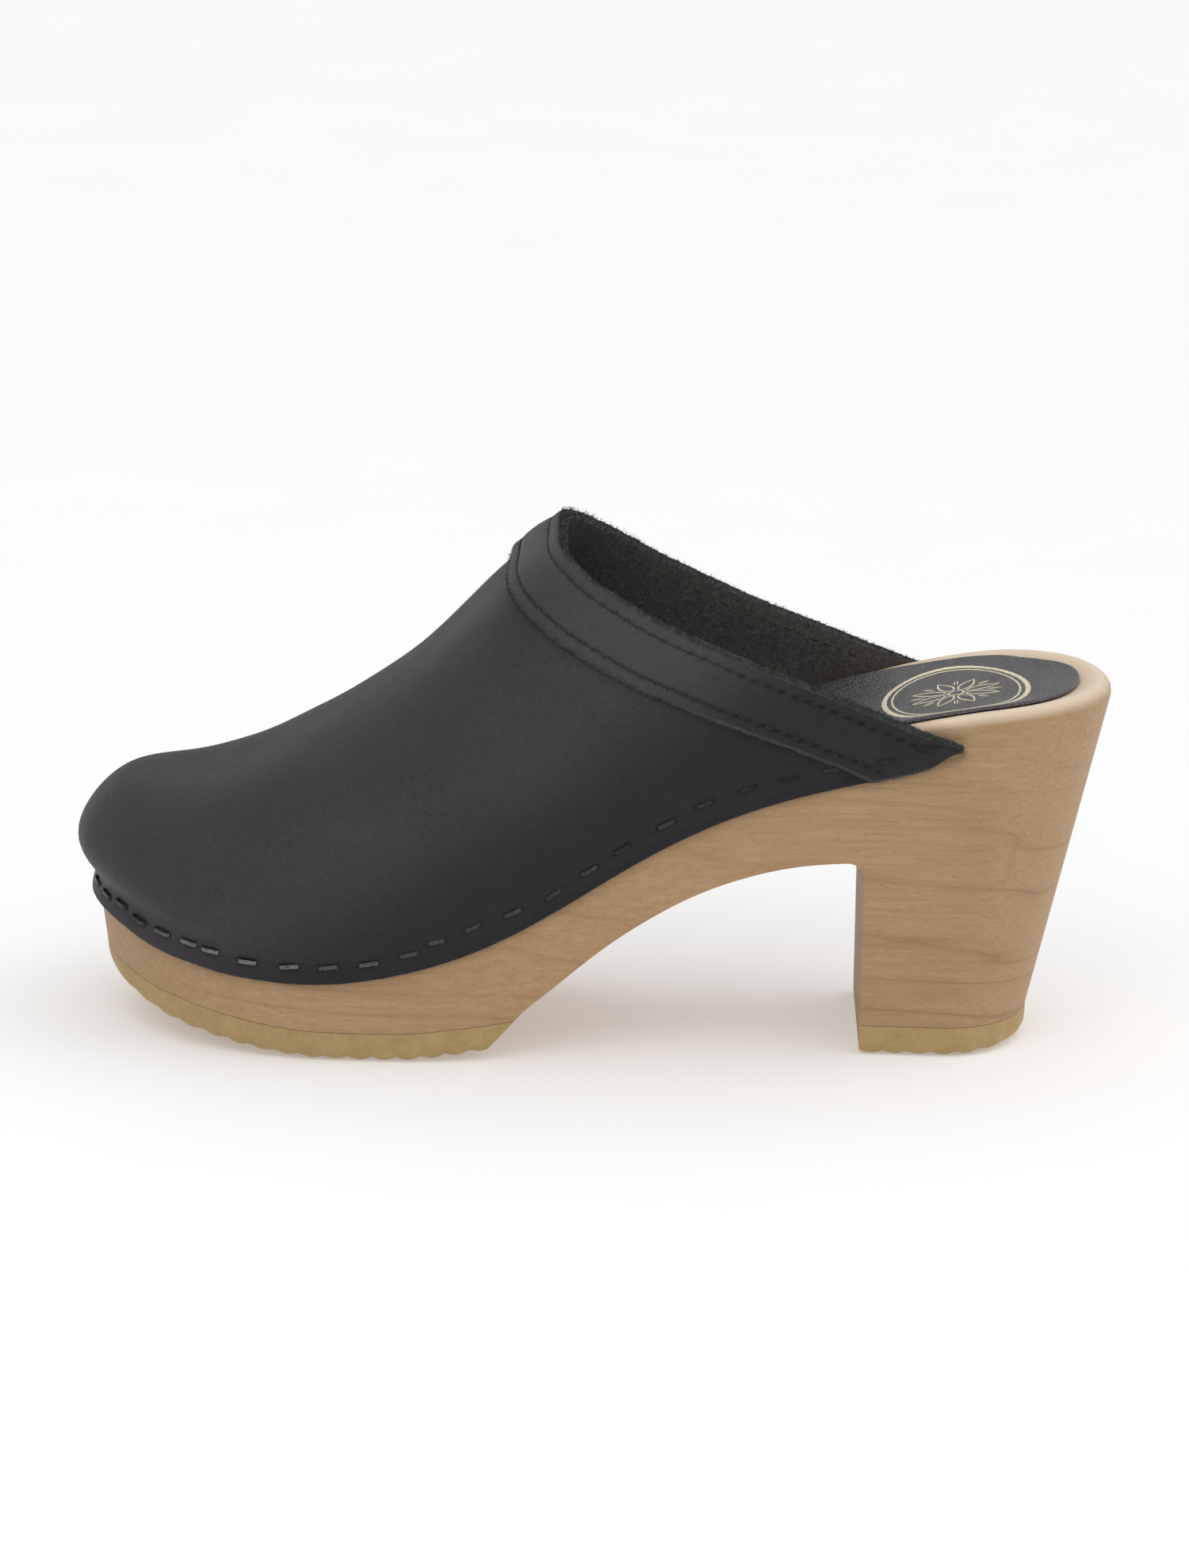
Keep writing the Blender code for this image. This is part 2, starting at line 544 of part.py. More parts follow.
def surface(x, y):
    """Outer face of the upper over a flat domain.

    The domain's outline is the upper's lower edge, its middle line the ridge.
    """
    out = np.zeros((len(x), 3))
    tip_angle = math.atan2(float(mid_line(TIP_X)) - FAN[1], FAN[0] - TIP_X)
    angle = np.arctan2(y - FAN[1], -(x - FAN[0]))
    outer = np.where(x >= CAPSULE_X, y < mid_line(x), angle < tip_angle)
    for side, line in SIDES.items():
        chosen = outer if side < 0 else ~outer
        if not chosen.any():
            continue
        foot, ridge, share = line.ribs_through(x[chosen], y[chosen])
        points, fraction = rib_sections(foot, ridge)
        rise = np.clip(1 - share, 0, 1)
        i = np.arange(len(rise))
        j = np.clip((fraction < rise[:, None]).sum(1) - 1, 0, fraction.shape[1] - 2)
        step = np.maximum(fraction[i, j + 1] - fraction[i, j], 1e-12)
        mix = np.clip((rise - fraction[i, j]) / step, 0, 1)[:, None]
        out[chosen] = points[i, j] * (1 - mix) + points[i, j + 1] * mix
    return out


def mouth_line(count=240):
    """For each side, the mouth edge in the domain, from instep to rear, and its arc length."""
    search = np.linspace(-20, 5, 2501)
    front_x = float(search[np.argmax(topline_z(search) - roof_z(search) < 0)])
    result = {}
    for side, line in SIDES.items():
        x = front_x + (TOP_END_X - front_x) * np.linspace(0, 1, count) ** 2.2
        foot_y, ridge_y = line.y_at(x), mid_line(x)
        points, fraction = rib_sections(np.stack([x, foot_y], 1), np.stack([x, ridge_y], 1), 300)
        rise = np.array([np.interp(topline_z(x[i]), points[i, :, 2], fraction[i])
                         for i in range(count)])
        rise[0] = 1.0
        y = ridge_y + (1 - rise) * (foot_y - ridge_y)
        steps = np.linalg.norm(np.diff(surface(x, y), axis=0), axis=1)
        result[side] = (np.stack([x, y], 1), np.concatenate([[0], np.cumsum(steps)]))
    return result


MOUTH = mouth_line()


def upper_points(s, t):
    """Outer-face points for s (0 lower edge .. 1 mouth edge) and t.

    t runs from -1 at the outer side's rear end over 0 at the front to 1 at the inner one's.
    """
    s, t = np.broadcast_arrays(s, t)
    flat_t = t.ravel()
    low, high = np.zeros((len(flat_t), 2)), np.zeros((len(flat_t), 2))
    for side, line in SIDES.items():
        chosen = (flat_t < 0) if side < 0 else (flat_t >= 0)
        along = np.abs(flat_t[chosen])
        low[chosen] = line.at(along * line.length)
        plan, arc = MOUTH[side]
        high[chosen] = np.stack([np.interp(along * arc[-1], arc, plan[:, 0]),
                                 np.interp(along * arc[-1], arc, plan[:, 1])], 1)
    mix = s.ravel()[:, None]
    domain = (1 - mix) * low + mix * high
    return surface(domain[:, 0], domain[:, 1]).reshape(*s.shape, 3)


def normals(points):
    """Outward unit normals of a point grid points[s, t, 3]."""
    out = np.cross(np.gradient(points, axis=0), np.gradient(points, axis=1))
    out /= np.maximum(np.linalg.norm(out, axis=2, keepdims=True), 1e-9)
    inside = np.array([0.0, 0.0, 20.0])
    if np.mean(np.einsum('ijk,ijk->ij', out, points - inside)) < 0:
        out = -out
    out[0, :, 2] = 0                                 # the first row's normals lie level
    out[0] /= np.maximum(np.linalg.norm(out[0], axis=1, keepdims=True), 1e-9)
    return out


def slab(name, inner, outer, mat):
    """Closed sheet between two point grids of the same shape."""
    shell = Shell()
    shell.grid(outer)
    shell.grid(inner, flip=True)
    rows, cols = outer.shape[:2]
    for i in range(rows - 1):
        shell.face(outer[i, 0], inner[i, 0], inner[i + 1, 0], outer[i + 1, 0])
        shell.face(outer[i, -1], outer[i + 1, -1], inner[i + 1, -1], inner[i, -1])
    for j in range(cols - 1):
        shell.face(outer[0, j], outer[0, j + 1], inner[0, j + 1], inner[0, j])
        shell.face(outer[-1, j], inner[-1, j], inner[-1, j + 1], outer[-1, j + 1])
    return outward(make(name, shell.verts, shell.faces, mat))


# --------------------------------------------------- upper and toe stiffener
T_COLS = np.linspace(-1, 1, 61)
S_ROWS = np.array([0, 0.035, 0.075, 0.14, 0.22, 0.31, 0.41, 0.51, 0.61, 0.71, 0.81, 0.9, 1.0])
FACE = upper_points(S_ROWS[:, None], T_COLS)
FACE_NORMALS = normals(FACE)


def leather_upper():
    return slab("leather_upper", FACE - LEATHER * FACE_NORMALS, FACE, MAT_LEATHER)


def toe_puff():
    """Stiffener inside the toe, on the upper's own grid so that the two faces run parallel."""
    toe = abs(T_COLS) < 0.28
    face, out = FACE[3:7][:, toe], FACE_NORMALS[3:7][:, toe]
    depth = LEATHER + PUFF_GAP
    return slab("toe_puff", face - (depth + PUFF_T) * out, face - depth * out, MAT_PUFF)


# --------------------------------------------------------------- collar band
def spread(count):
    """Values from -1 to 1, slightly denser towards 0."""
    even = np.linspace(-1, 1, count)
    return np.sign(even) * np.abs(even) ** 1.05


def s_below_mouth(t, depth):
    """For each t, the s that lies the given depth below the mouth edge (0 where it runs out)."""
    fine_s = np.linspace(0, 1, 90)
    steps = np.linalg.norm(np.diff(upper_points(fine_s[:, None], t), axis=0), axis=2)
    down = np.concatenate([np.cumsum(steps[::-1], axis=0)[::-1], np.zeros((1, len(t)))], 0)
    depth = np.broadcast_to(depth, t.shape)
    return np.array([np.interp(-depth[j], -down[:, j], fine_s) for j in range(len(t))])


def band_width(t):
    return BAND_W_TOP + (BAND_W - BAND_W_TOP) * np.clip(np.abs(t) / 0.18, 0, 1)


def collar_band():
    t = spread(57)
    s_low = s_below_mouth(t, band_width(t))
    face = upper_points(s_low + (1 - s_low) * np.linspace(0, 1, 5)[:, None], t)
    out = normals(face)
    # the band's lower edge stands off like the row above it, or like the upper's lower edge
    edge = normals(upper_points(np.array([[0.0], [0.05]]), t))[0]
    out[0] = np.where((s_low > 0.02)[:, None], out[1], edge)
    return slab("collar_band", face + GAP * out, face + PROUD * out, MAT_BAND)


# ---------------------------------------------------------------------- sock
def insole_sock():
    col_x = stations(8, 14, 8)
    top, bottom = {}, {}
    for side, insets in ((-1, SOCK_INSET[:, 1]), (1, SOCK_INSET[:, 2])):
        plan = inset_outline(col_x, side, np.interp(col_x, SOCK_INSET[:, 0], insets))
        plan[0, 1], plan[-1, 1] = mid_line(TIP_X), mid_line(REAR_X)
        bottom[side] = np.column_stack([plan, top_z(plan[:, 0], plan[:, 1]) + GAP])
        top[side] = bottom[side] + [0, 0, SOCK_T]
    shell = Shell()
    shell.grid(across(top[-1], top[1], 7, lift=GAP + SOCK_T))
    shell.grid(across(bottom[-1], bottom[1], 7, lift=GAP), flip=True)
    for side in (-1, 1):
        shell.grid(columns([top[side], bottom[side]]), flip=side < 0)
    return make("insole_sock", shell.verts, shell.faces, MAT_SOCK)


# ------------------------------------------------------------------- threads
def upper_seam(t):
    return ROW_IN


def lower_seam(t):
    return band_width(t) - ROW_IN


THREADS = (                          # name, depth below the mouth edge, offset, end in t
    ("upper_seam_needle_thread", upper_seam, NEEDLE_OFFSET, 0.955),
    ("upper_seam_bobbin_thread", upper_seam, BOBBIN_OFFSET, 0.84),
    ("lower_seam_needle_thread", lower_seam, NEEDLE_OFFSET, 0.84),
    ("lower_seam_bobbin_thread", lower_seam, BOBBIN_OFFSET, 0.70))


def thread(name, seam, offset, t_end):
    """A four-sided strand that follows a seam, just off one leather face."""
    t = spread(45) * t_end
    s = s_below_mouth(t, seam(t))
    points = upper_points(np.clip(s + np.array([[-0.02], [0.0], [0.02]]), 0, 1), t)
    out = normals(points)[1]
    centre = points[1] + out * offset
    along = np.gradient(centre, axis=0)
    along /= np.linalg.norm(along, axis=1)[:, None]
    across_seam = np.cross(along, out)
    rings = []
    for k in range(4):
        angle = 2 * math.pi * (k + 0.5) / 4
        spoke = math.cos(angle) * out + math.sin(angle) * across_seam
        rings.append(centre + THREAD_R * spoke)
    shell = Shell()
    for i in range(len(centre) - 1):
        for k in range(4):
            ring, following = rings[k], rings[(k + 1) % 4]
            shell.face(ring[i], following[i], following[i + 1], ring[i + 1])
    shell.face(*[ring[0] for ring in rings[::-1]])
    shell.face(*[ring[-1] for ring in rings])
    outward(make(name, shell.verts, shell.faces, MAT_THREAD))


# ------------------------------------------------------------------- staples
def staple_frame(line, arc):
    """Base point, directions along the edge, out and up, and the band's build-up there."""
    before, here, after = (line.at(arc + d) for d in (-STAPLE_SPAN, 0.0, STAPLE_SPAN))
    rise = float(leather_edge_z(after[0])) - float(leather_edge_z(before[0]))
    along = np.array([after[0] - before[0], after[1] - before[1], rise])
    along /= np.linalg.norm(along)
    out = np.array([along[1] * -line.side, along[0] * line.side, 0.0])
    out /= np.linalg.norm(out)
    up = line.side * np.cross(along, out)
    over = PROUD if here[0] > BAND_EDGE_X else 0.0
    z = float(leather_edge_z(here[0])) + float(staple_z(here[0]))
    return np.array([here[0], here[1], z]) + out * over, along, out, up, over


def staple_mesh(frame, grow, lift):
    """U shape: a crown along the edge and two legs driven inwards."""
    base, along, out, up, over = frame
    half_w, half_d = STAPLE_W / 2 + grow, STAPLE_D / 2 + grow
    top = STAPLE_PROUD + lift
    under = STAPLE_PROUD - STAPLE_T - grow
    inner = STAPLE_W / 2 - STAPLE_T - grow
    tip = STAPLE_PROUD - (STAPLE_LEG + over * OVER_LEG) - grow
    profile = [(-half_w, top), (-half_w, tip), (-inner, tip), (-inner, under),
               (inner, under), (inner, tip), (half_w, tip), (half_w, top)]
    verts = [tuple((base + along * x + out * y + up * z) * MM)
             for z in (-half_d, half_d) for x, y in profile]
    count = len(profile)
    faces = [list(range(count))[::-1], list(range(count, 2 * count))]
    faces += [[i, (i + 1) % count, count + (i + 1) % count, count + i] for i in range(count)]
    if np.dot(np.cross(along, out), up) < 0:         # left-handed frame on the outer side
        faces = [face[::-1] for face in faces]
    return verts, faces


def staples():
    """Builds the staples and returns one helper mesh with all their holes."""
    hole_verts, hole_faces = [], []
    for side, line in SIDES.items():
        arcs = np.concatenate([STAPLE_TOE[side],
                               np.interp(STAPLE_X[side], line.line[:, 0], line.arc)])
        label = "near" if side < 0 else "far"
        for number, arc in enumerate(arcs, 1):
            frame = staple_frame(line, arc)
            verts, faces = staple_mesh(frame, grow=0.0, lift=0.0)
            make("staple_%s_%02d" % (label, number), verts, faces, MAT_STEEL)
            verts, faces = staple_mesh(frame, grow=GAP, lift=HOLE_LIFT)
            first = len(hole_verts)
            hole_verts += verts
            hole_faces += [[first + i for i in face] for face in faces]
    holes = make("staple_holes", hole_verts, hole_faces, None)
    holes.hide_render = True
    holes.display_type = 'WIRE'
    return holes


def cut(obj, cutter):
    modifier = obj.modifiers.new("holes", 'BOOLEAN')
    modifier.operation = 'DIFFERENCE'
    modifier.solver = 'EXACT'
    modifier.object = cutter


# ------------------------------------------------------------------ assembly
wood_obj = wood_base()
front_outsole()
heel_top_piece()
upper_obj = leather_upper()
band_obj = collar_band()
toe_puff()
insole_sock()
for thread_row in THREADS:
    thread(*thread_row)
staple_holes = staples()
for target in (wood_obj, upper_obj, band_obj):
    cut(target, staple_holes)
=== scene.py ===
# A clog: stapled leather upper with a stitched collar band on a wooden base with rubber soles.
# The toe points to -x and the heel to +x; z = 0 is the floor. The near side is -y, the far +y.
# Design numbers are in millimetres, meshes are written in metres.
import bpy
import math
import numpy as np
from mathutils import Matrix, Vector


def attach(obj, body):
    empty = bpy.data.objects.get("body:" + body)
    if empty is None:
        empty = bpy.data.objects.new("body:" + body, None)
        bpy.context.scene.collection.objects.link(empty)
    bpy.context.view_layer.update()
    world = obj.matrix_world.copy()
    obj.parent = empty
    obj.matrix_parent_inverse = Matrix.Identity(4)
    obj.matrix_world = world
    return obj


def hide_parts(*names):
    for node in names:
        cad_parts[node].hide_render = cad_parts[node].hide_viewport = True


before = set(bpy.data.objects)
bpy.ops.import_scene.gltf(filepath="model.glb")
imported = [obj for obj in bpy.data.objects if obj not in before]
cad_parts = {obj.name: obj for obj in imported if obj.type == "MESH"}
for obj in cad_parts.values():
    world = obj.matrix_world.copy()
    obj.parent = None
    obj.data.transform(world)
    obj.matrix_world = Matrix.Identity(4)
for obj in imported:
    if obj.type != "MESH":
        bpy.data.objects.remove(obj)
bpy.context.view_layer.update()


MM = 0.001
QUARTER = math.pi / 2

TIP_X, REAR_X = -120.9, 125.8
TOE_X, TOE_POWER = -60.0, 2.3       # start of the rounded toe, and its squareness
HEEL_X, HEEL_POWER = 95.0, 2.1      # the same for the rounded heel
TOE_LENGTH = TOE_X - TIP_X
BREAST_X = 65.6                     # front face of the heel block
HEEL_END_X = 107.0                  # rear of the heel block at its foot
ARCH_X, SHANK_X = -18.4, 61.6       # ends of the arch
BASE_Z = 7.2                        # underside of the heel block
TOE_TAPER = 57.6 / TOE_LENGTH
DISH, DISH_HEEL = 1.8, 2.6          # hollow of the footbed, forward and at the heel
RIM_R = 2.4
GAP = 0.3
LEATHER = 1.8
PROUD = LEATHER + GAP
FEATHER_END_X = 88.0                # rear end of the upper's lower edge
TOP_END_X = 88.5                    # rear end of its mouth edge
CAPSULE_X = -84.0                   # ahead of this the ribs fan out round one point
BAND_WIDTH, BAND_WIDTH_FRONT = 17.2, 15.8
ROW_IN = 3.6                        # seam to border of the band
STAPLE_W, STAPLE_D = 5.0, 1.2

# Staples of each side: first by distance along the outline from the toe tip, then by x.
STAPLE_TOE = {-1: (12.6, 20.9), 1: (4.3, 14.0, 24.0)}
STAPLE_X = {
    -1: (-115.2, -110.4, -104.1, -98.0, -92.2, -82.8, -73.2, -63.2, -53.7, -43.8, -37.0, -28.4,
         -18.7, -9.3, -1.0, 7.3, 17.5, 26.9, 36.9, 46.7, 56.8, 69.4, 80.0),
    1: (-110.5, -101.0, -91.3, -81.5, -71.7, -61.9, -52.1, -42.3, -32.5, -22.7, -12.9, -3.1,
        6.7, 16.5, 26.3, 36.3, 46.3, 56.8, 69.4, 80.0)}
BAND_STAPLE_X = 68.5                # staples behind this sit on the band


# ------------------------------------------------------------ curve tools
def unit(vectors):
    return vectors / np.maximum(np.linalg.norm(vectors, axis=-1, keepdims=True), 1e-9)


def arc_length(points, axis=0):
    """Running length along a polyline, starting at 0."""
    run = np.cumsum(np.linalg.norm(np.diff(points, axis=axis), axis=-1), axis)
    return np.insert(run, 0, 0.0, axis)


def read_line(at, run, points):
    """Points of a polyline read at the running values `at`."""
    return np.stack([np.interp(at, run, column) for column in points.T], -1)


def smooth_curve(knots, values):
    """Natural cubic spline through rows of values, straight past its ends."""
    knots, values = np.asarray(knots, float), np.asarray(values, float)
    count = len(knots)
    rows = values.reshape(count, -1)
    gap = np.diff(knots)
    slope = np.diff(rows, axis=0) / gap[:, None]
    system, target = np.eye(count), np.zeros_like(rows)
    for i in range(1, count - 1):
        system[i, i - 1:i + 2] = gap[i - 1], 2 * (gap[i - 1] + gap[i]), gap[i]
        target[i] = 6 * (slope[i] - slope[i - 1])
    bend = np.linalg.solve(system, target)
    first = slope[0] - gap[0] * (2 * bend[0] + bend[1]) / 6
    last = slope[-1] + gap[-1] * (bend[-2] + 2 * bend[-1]) / 6

    def value(x):
        x = np.asarray(x, float)
        flat = x.reshape(-1, 1)
        i = np.clip(np.searchsorted(knots, flat[:, 0]) - 1, 0, count - 2)
        inside = np.clip(flat, knots[0], knots[-1])
        past, ahead, width = inside - knots[i, None], knots[i + 1, None] - inside, gap[i, None]
        y = ((bend[i] * ahead**3 + bend[i + 1] * past**3) / (6 * width)
             + (rows[i] / width - bend[i] * width / 6) * ahead
             + (rows[i + 1] / width - bend[i + 1] * width / 6) * past)
        y = y + np.minimum(flat - knots[0], 0) * first + np.maximum(flat - knots[-1], 0) * last
        return y.reshape(x.shape + values.shape[1:])

    return value


def line(*points):
    table = np.array(points, float)
    return smooth_curve(table[:, 0], table[:, 1])


# ------------------------------------------------------------ design lines, as (x, value)
# plan of the wooden base
half_width = line(
    (-130, 45.6), (-75, 45.6), (-60, 45.5), (-45, 45.0), (-30, 43.2), (-10, 39.2),
    (10, 35.4), (30, 32.5), (50, 31.2), (70, 31.4), (90, 32.4), (130, 32.4))
mid_line = line(
    (-122, 5.42), (-105, 3.62), (-90, 1.92), (-75, 0.62), (-60, -0.28), (-30, -1.38),
    (0, -1.78), (30, -1.38), (60, -0.58), (90, -0.58), (126, -0.58))
# side profile: heights of the leather's lower edge, the wood's rim and the arch
leather_edge_z = line(
    (-121, 29.9), (-116, 28.3), (-106.7, 24.8), (-97, 22.6), (-88, 21.2), (-78.8, 20.5),
    (-68, 20.2), (-60, 20.8), (-41.5, 24.4), (-25, 30.1), (-8.9, 38.3), (9.7, 49.3),
    (28.3, 58.5), (46.9, 64.9), (60.9, 68.5), (74.9, 71.9), (84.2, 75.0), (92, 78.0))
rim_z = line(
    (-121, 38.0), (-106.7, 33.4), (-97, 31.4), (-88, 30.2), (-78.8, 29.6), (-60, 30.2),
    (-41.5, 33.9), (-25, 39.6), (-8.9, 47.8), (9.7, 58.8), (28.3, 68.0), (46.9, 74.8),
    (60.9, 79.2), (75, 83.3), (84, 85.3), (93, 87.0), (102, 88.2), (112, 89.1),
    (121, 89.5), (126, 89.5))
arch_z = line(
    (-18.4, 10.1), (-17.2, 11.4), (-11.6, 16.2), (0.15, 25.8), (11.2, 33.4), (21.8, 39.2),
    (29.1, 42.3), (37.6, 45.0), (46.9, 47.1), (56.3, 48.2), (61.6, 48.5))
# height of the staples' crowns above the leather's lower edge
staple_z = line(
    (-124, 3.9), (-116, 4.0), (-106, 4.4), (-97, 4.6), (-80, 4.4), (-54, 4.1), (-44, 4.8),
    (-33, 6.2), (-18, 5.5), (10, 5.6), (45, 5.7), (58, 5.2), (69, 5.1), (80, 5.9), (90, 6.0))
# ridge of the upper's outer face, carried on as an imagined roof over the mouth
roof_z = line(
    (-127, 60.6), (-116, 61.3), (-106.7, 60.8), (-97, 61.1), (-88, 63.5), (-78.8, 67.6),
    (-69.5, 73.0), (-60, 78.7), (-50.8, 85.0), (-41.5, 92.5), (-32.2, 101.7),
    (-22.9, 111.1), (-9, 121.9), (10, 134.0), (40, 148.0), (90, 158.0))
topline_z = line(
    (-12, 124.0), (-9.5, 122.9), (-5.2, 120.6), (0, 117.3), (5.4, 114.3), (13.1, 110.0),
    (20.8, 106.2), (28.5, 102.8), (36.2, 99.4), (43.9, 96.3), (51.5, 93.4), (59.2, 90.4),
    (66.8, 87.4), (74.5, 84.4), (82, 81.6), (90.5, 78.8))
# squareness of the upper's ribs sideways and upward, and their outward swell
square_side = line((-123, 7.5), (-110, 6.0), (-90, 4.2), (-60, 3.2), (-30, 3.6), (-10, 4.6),
                   (10, 5.0), (90, 5.0))
square_up = line((-122, 2.0), (-90, 2.1), (-60, 2.2), (-30, 2.5), (-10, 2.9), (10, 3.0),
                 (90, 3.0))
bulge = line((-123, 3.6), (-110, 3.6), (-90, 2.8), (-60, 1.4), (-30, 0.5), (0, 0.0), (90, 0.0))


def tread_z(x):
    """Underside of the front rubber: flat under the ball, rockered up before and behind it."""
    x = np.asarray(x, float)
    return (0.0158 * np.clip(-64 - x, 0, None) ** 1.6 + 0.025 * np.clip(x + 46, 0, None) ** 1.5
            + 0.028 * np.clip(-101 - x, 0, None) ** 1.5)


def wood_under_z(x):
    """Top of the front rubber: it thins at the toe and towards the arch."""
    x = np.asarray(x, float)
    return (tread_z(x) + 7.3 - 1.2 * np.clip((-100 - x) / 21, 0, 1)
            - 0.8 * np.clip((x + 34) / 15.6, 0, 1))


def under_z(x):
    """Underside of the wood ahead of the heel, with a fillet into the heel's front face."""
    x = np.asarray(x, float)
    radius = BREAST_X - SHANK_X
    drop = np.sqrt(np.clip(radius**2 - np.clip(x - SHANK_X, 0, radius) ** 2, 0, None))
    fillet = float(arch_z(SHANK_X)) - (radius - drop)
    return np.where(x < ARCH_X, wood_under_z(x), np.where(x <= SHANK_X, arch_z(x), fillet))


def cap(x):
    """1 along the middle, falling to 0 at the rounded toe and heel."""
    x = np.asarray(x, float)
    toe = np.clip((TOE_X - x) / TOE_LENGTH, 0, 1)
    heel = np.clip((x - HEEL_X) / (REAR_X - HEEL_X), 0, 1)
    return (1 - toe**TOE_POWER) ** (1 / TOE_POWER) * (1 - heel**HEEL_POWER) ** (1 / HEEL_POWER)


def rim_y(x, side):
    return mid_line(x) + side * half_width(x) * cap(x)


# ------------------------------------------------------ plan outline and offsets
def toe_x(turn):
    return TOE_X - TOE_LENGTH * np.sin(turn) ** (2 / TOE_POWER)


def columns(toe_count, mid_count, heel_count, marks=()):
    """x of each wall column, dense round the toe and heel, passing through the marks."""
    toe = toe_x(np.linspace(QUARTER, 0, toe_count + 1))
    turn = np.linspace(0, QUARTER, heel_count + 1)
    heel = HEEL_X + (REAR_X - HEEL_X) * np.sin(turn) ** (2 / HEEL_POWER)
    step = (HEEL_X - TOE_X) / mid_count
    middle = [x for x in np.linspace(TOE_X, HEEL_X, mid_count + 1)[1:-1]
              if all(abs(x - mark) > 0.45 * step for mark in marks)]
    return np.concatenate([toe, sorted(middle + list(marks)), heel])


def rim_line(x, side, to_rear=True):
    """Points of the rim in plan and their inward normals."""
    points = np.stack([x, rim_y(x, side)], 1)
    tangent = np.gradient(points, axis=0)
    tangent[0] = [0, side]
    if to_rear:
        tangent[-1] = [0, -side]
    tangent = unit(tangent)
    return points, np.stack([tangent[:, 1], -tangent[:, 0]], 1) * side


def inset_outline(x, side, inset):
    """Rim outline moved inwards along its plan normal (the inset may vary along it)."""
    fine = columns(220, 240, 160)
    points, inward = rim_line(fine, side)
    depth = np.interp(fine, x, np.broadcast_to(inset, np.shape(x)))
    return read_line(x, fine, points + inward * depth[:, None])


LOOP_X = columns(120, 140, 80)
RIM_LOOP = np.concatenate([rim_line(LOOP_X, side)[0] for side in (-1, 1)])


def edge_dist(x, y):
    """Plan distance from the rim."""
    points = np.stack([np.ravel(x), np.ravel(y)], 1)
    gaps = np.sqrt(((points[:, None, :] - RIM_LOOP[None]) ** 2).sum(2)).min(1)
    return gaps.reshape(np.shape(x))


def top_z(x, y):
    """Footbed surface: the rim's height less a shallow hollow."""
    rear = np.clip((np.asarray(x, float) - 20) / 50, 0, 1)
    hollow = 1 - np.exp(-((edge_dist(x, y) / (13.0 - 4.0 * rear)) ** 2))
    return rim_z(x) - (DISH + (DISH_HEEL - DISH) * rear) * hollow


def wall(x, side, z):
    """Point of the wood's side wall: upright behind the leather, tapering below it."""
    x, z = np.asarray(x, float), np.asarray(z, float)
    y = rim_y(x, side)
    upright_z = np.minimum(leather_edge_z(x), rim_z(x) - RIM_R)
    heel_taper = (HEEL_END_X - BREAST_X) / (REAR_X - BREAST_X)
    foot_x = np.where(x < TOE_X, TOE_X + (x - TOE_X) * TOE_TAPER,
                      np.where(x > BREAST_X, BREAST_X + (x - BREAST_X) * heel_taper, x))
    foot_y = y * np.interp(x, [-120, -60, 0, 65.6, 126], [.955, .955, .94, .898, .87])
    fall = np.clip((upright_z - z) / (upright_z - BASE_Z), 0, None)
    return np.stack([x + (foot_x - x) * fall, y + (foot_y - y) * fall, z + 0 * x], -1)


def wall_foot(x, side, profile):
    """Where column x of the wall meets a lower profile z = profile(x)."""
    z = profile(x)
    for _ in range(12):
        z = profile(wall(x, side, z)[..., 0])
    return wall(x, side, z)


# ------------------------------------------------------- surface of the upper
CAPSULE = np.array([CAPSULE_X, float(mid_line(CAPSULE_X))])


class OuterLine:
    """Plan line of the upper's outer face on one side, from the toe tip backwards."""

    def __init__(self, side):
        self.side = side
        count = 350
        toe = toe_x(np.linspace(0, QUARTER, count)[::-1])
        x = np.concatenate([toe, np.linspace(TOE_X, FEATHER_END_X + 6, count + 1)[1:]])
        points, inward = rim_line(x, side, to_rear=False)
        self.points = points - inward * PROUD
        self.points[0] = [TIP_X - PROUD, float(mid_line(TIP_X))]
        self.run = arc_length(self.points)
        self.length = float(np.interp(FEATHER_END_X, self.points[:, 0], self.run))
        self.fan_end = int(np.sum(self.points[:, 0] <= CAPSULE_X + 1e-9))
        self.angle = self.angle_of(self.points)

    def angle_of(self, points):
        """Angle round the capsule centre, from the toe direction."""
        reach = points - CAPSULE
        return np.arctan2(reach[:, 1] * self.side, -reach[:, 0])

    def at(self, run):
        return read_line(run, self.run, self.points)

    def beside(self, x):
        rear = self.points[self.fan_end - 1:]
        return np.stack([x, np.interp(x, rear[:, 0], rear[:, 1])], 1)

    def facing(self, points):
        fan = slice(self.fan_end + 1)
        return read_line(self.angle_of(points), self.angle[fan], self.points[fan])


OUTER_LINES = {side: OuterLine(side) for side in (-1, 1)}


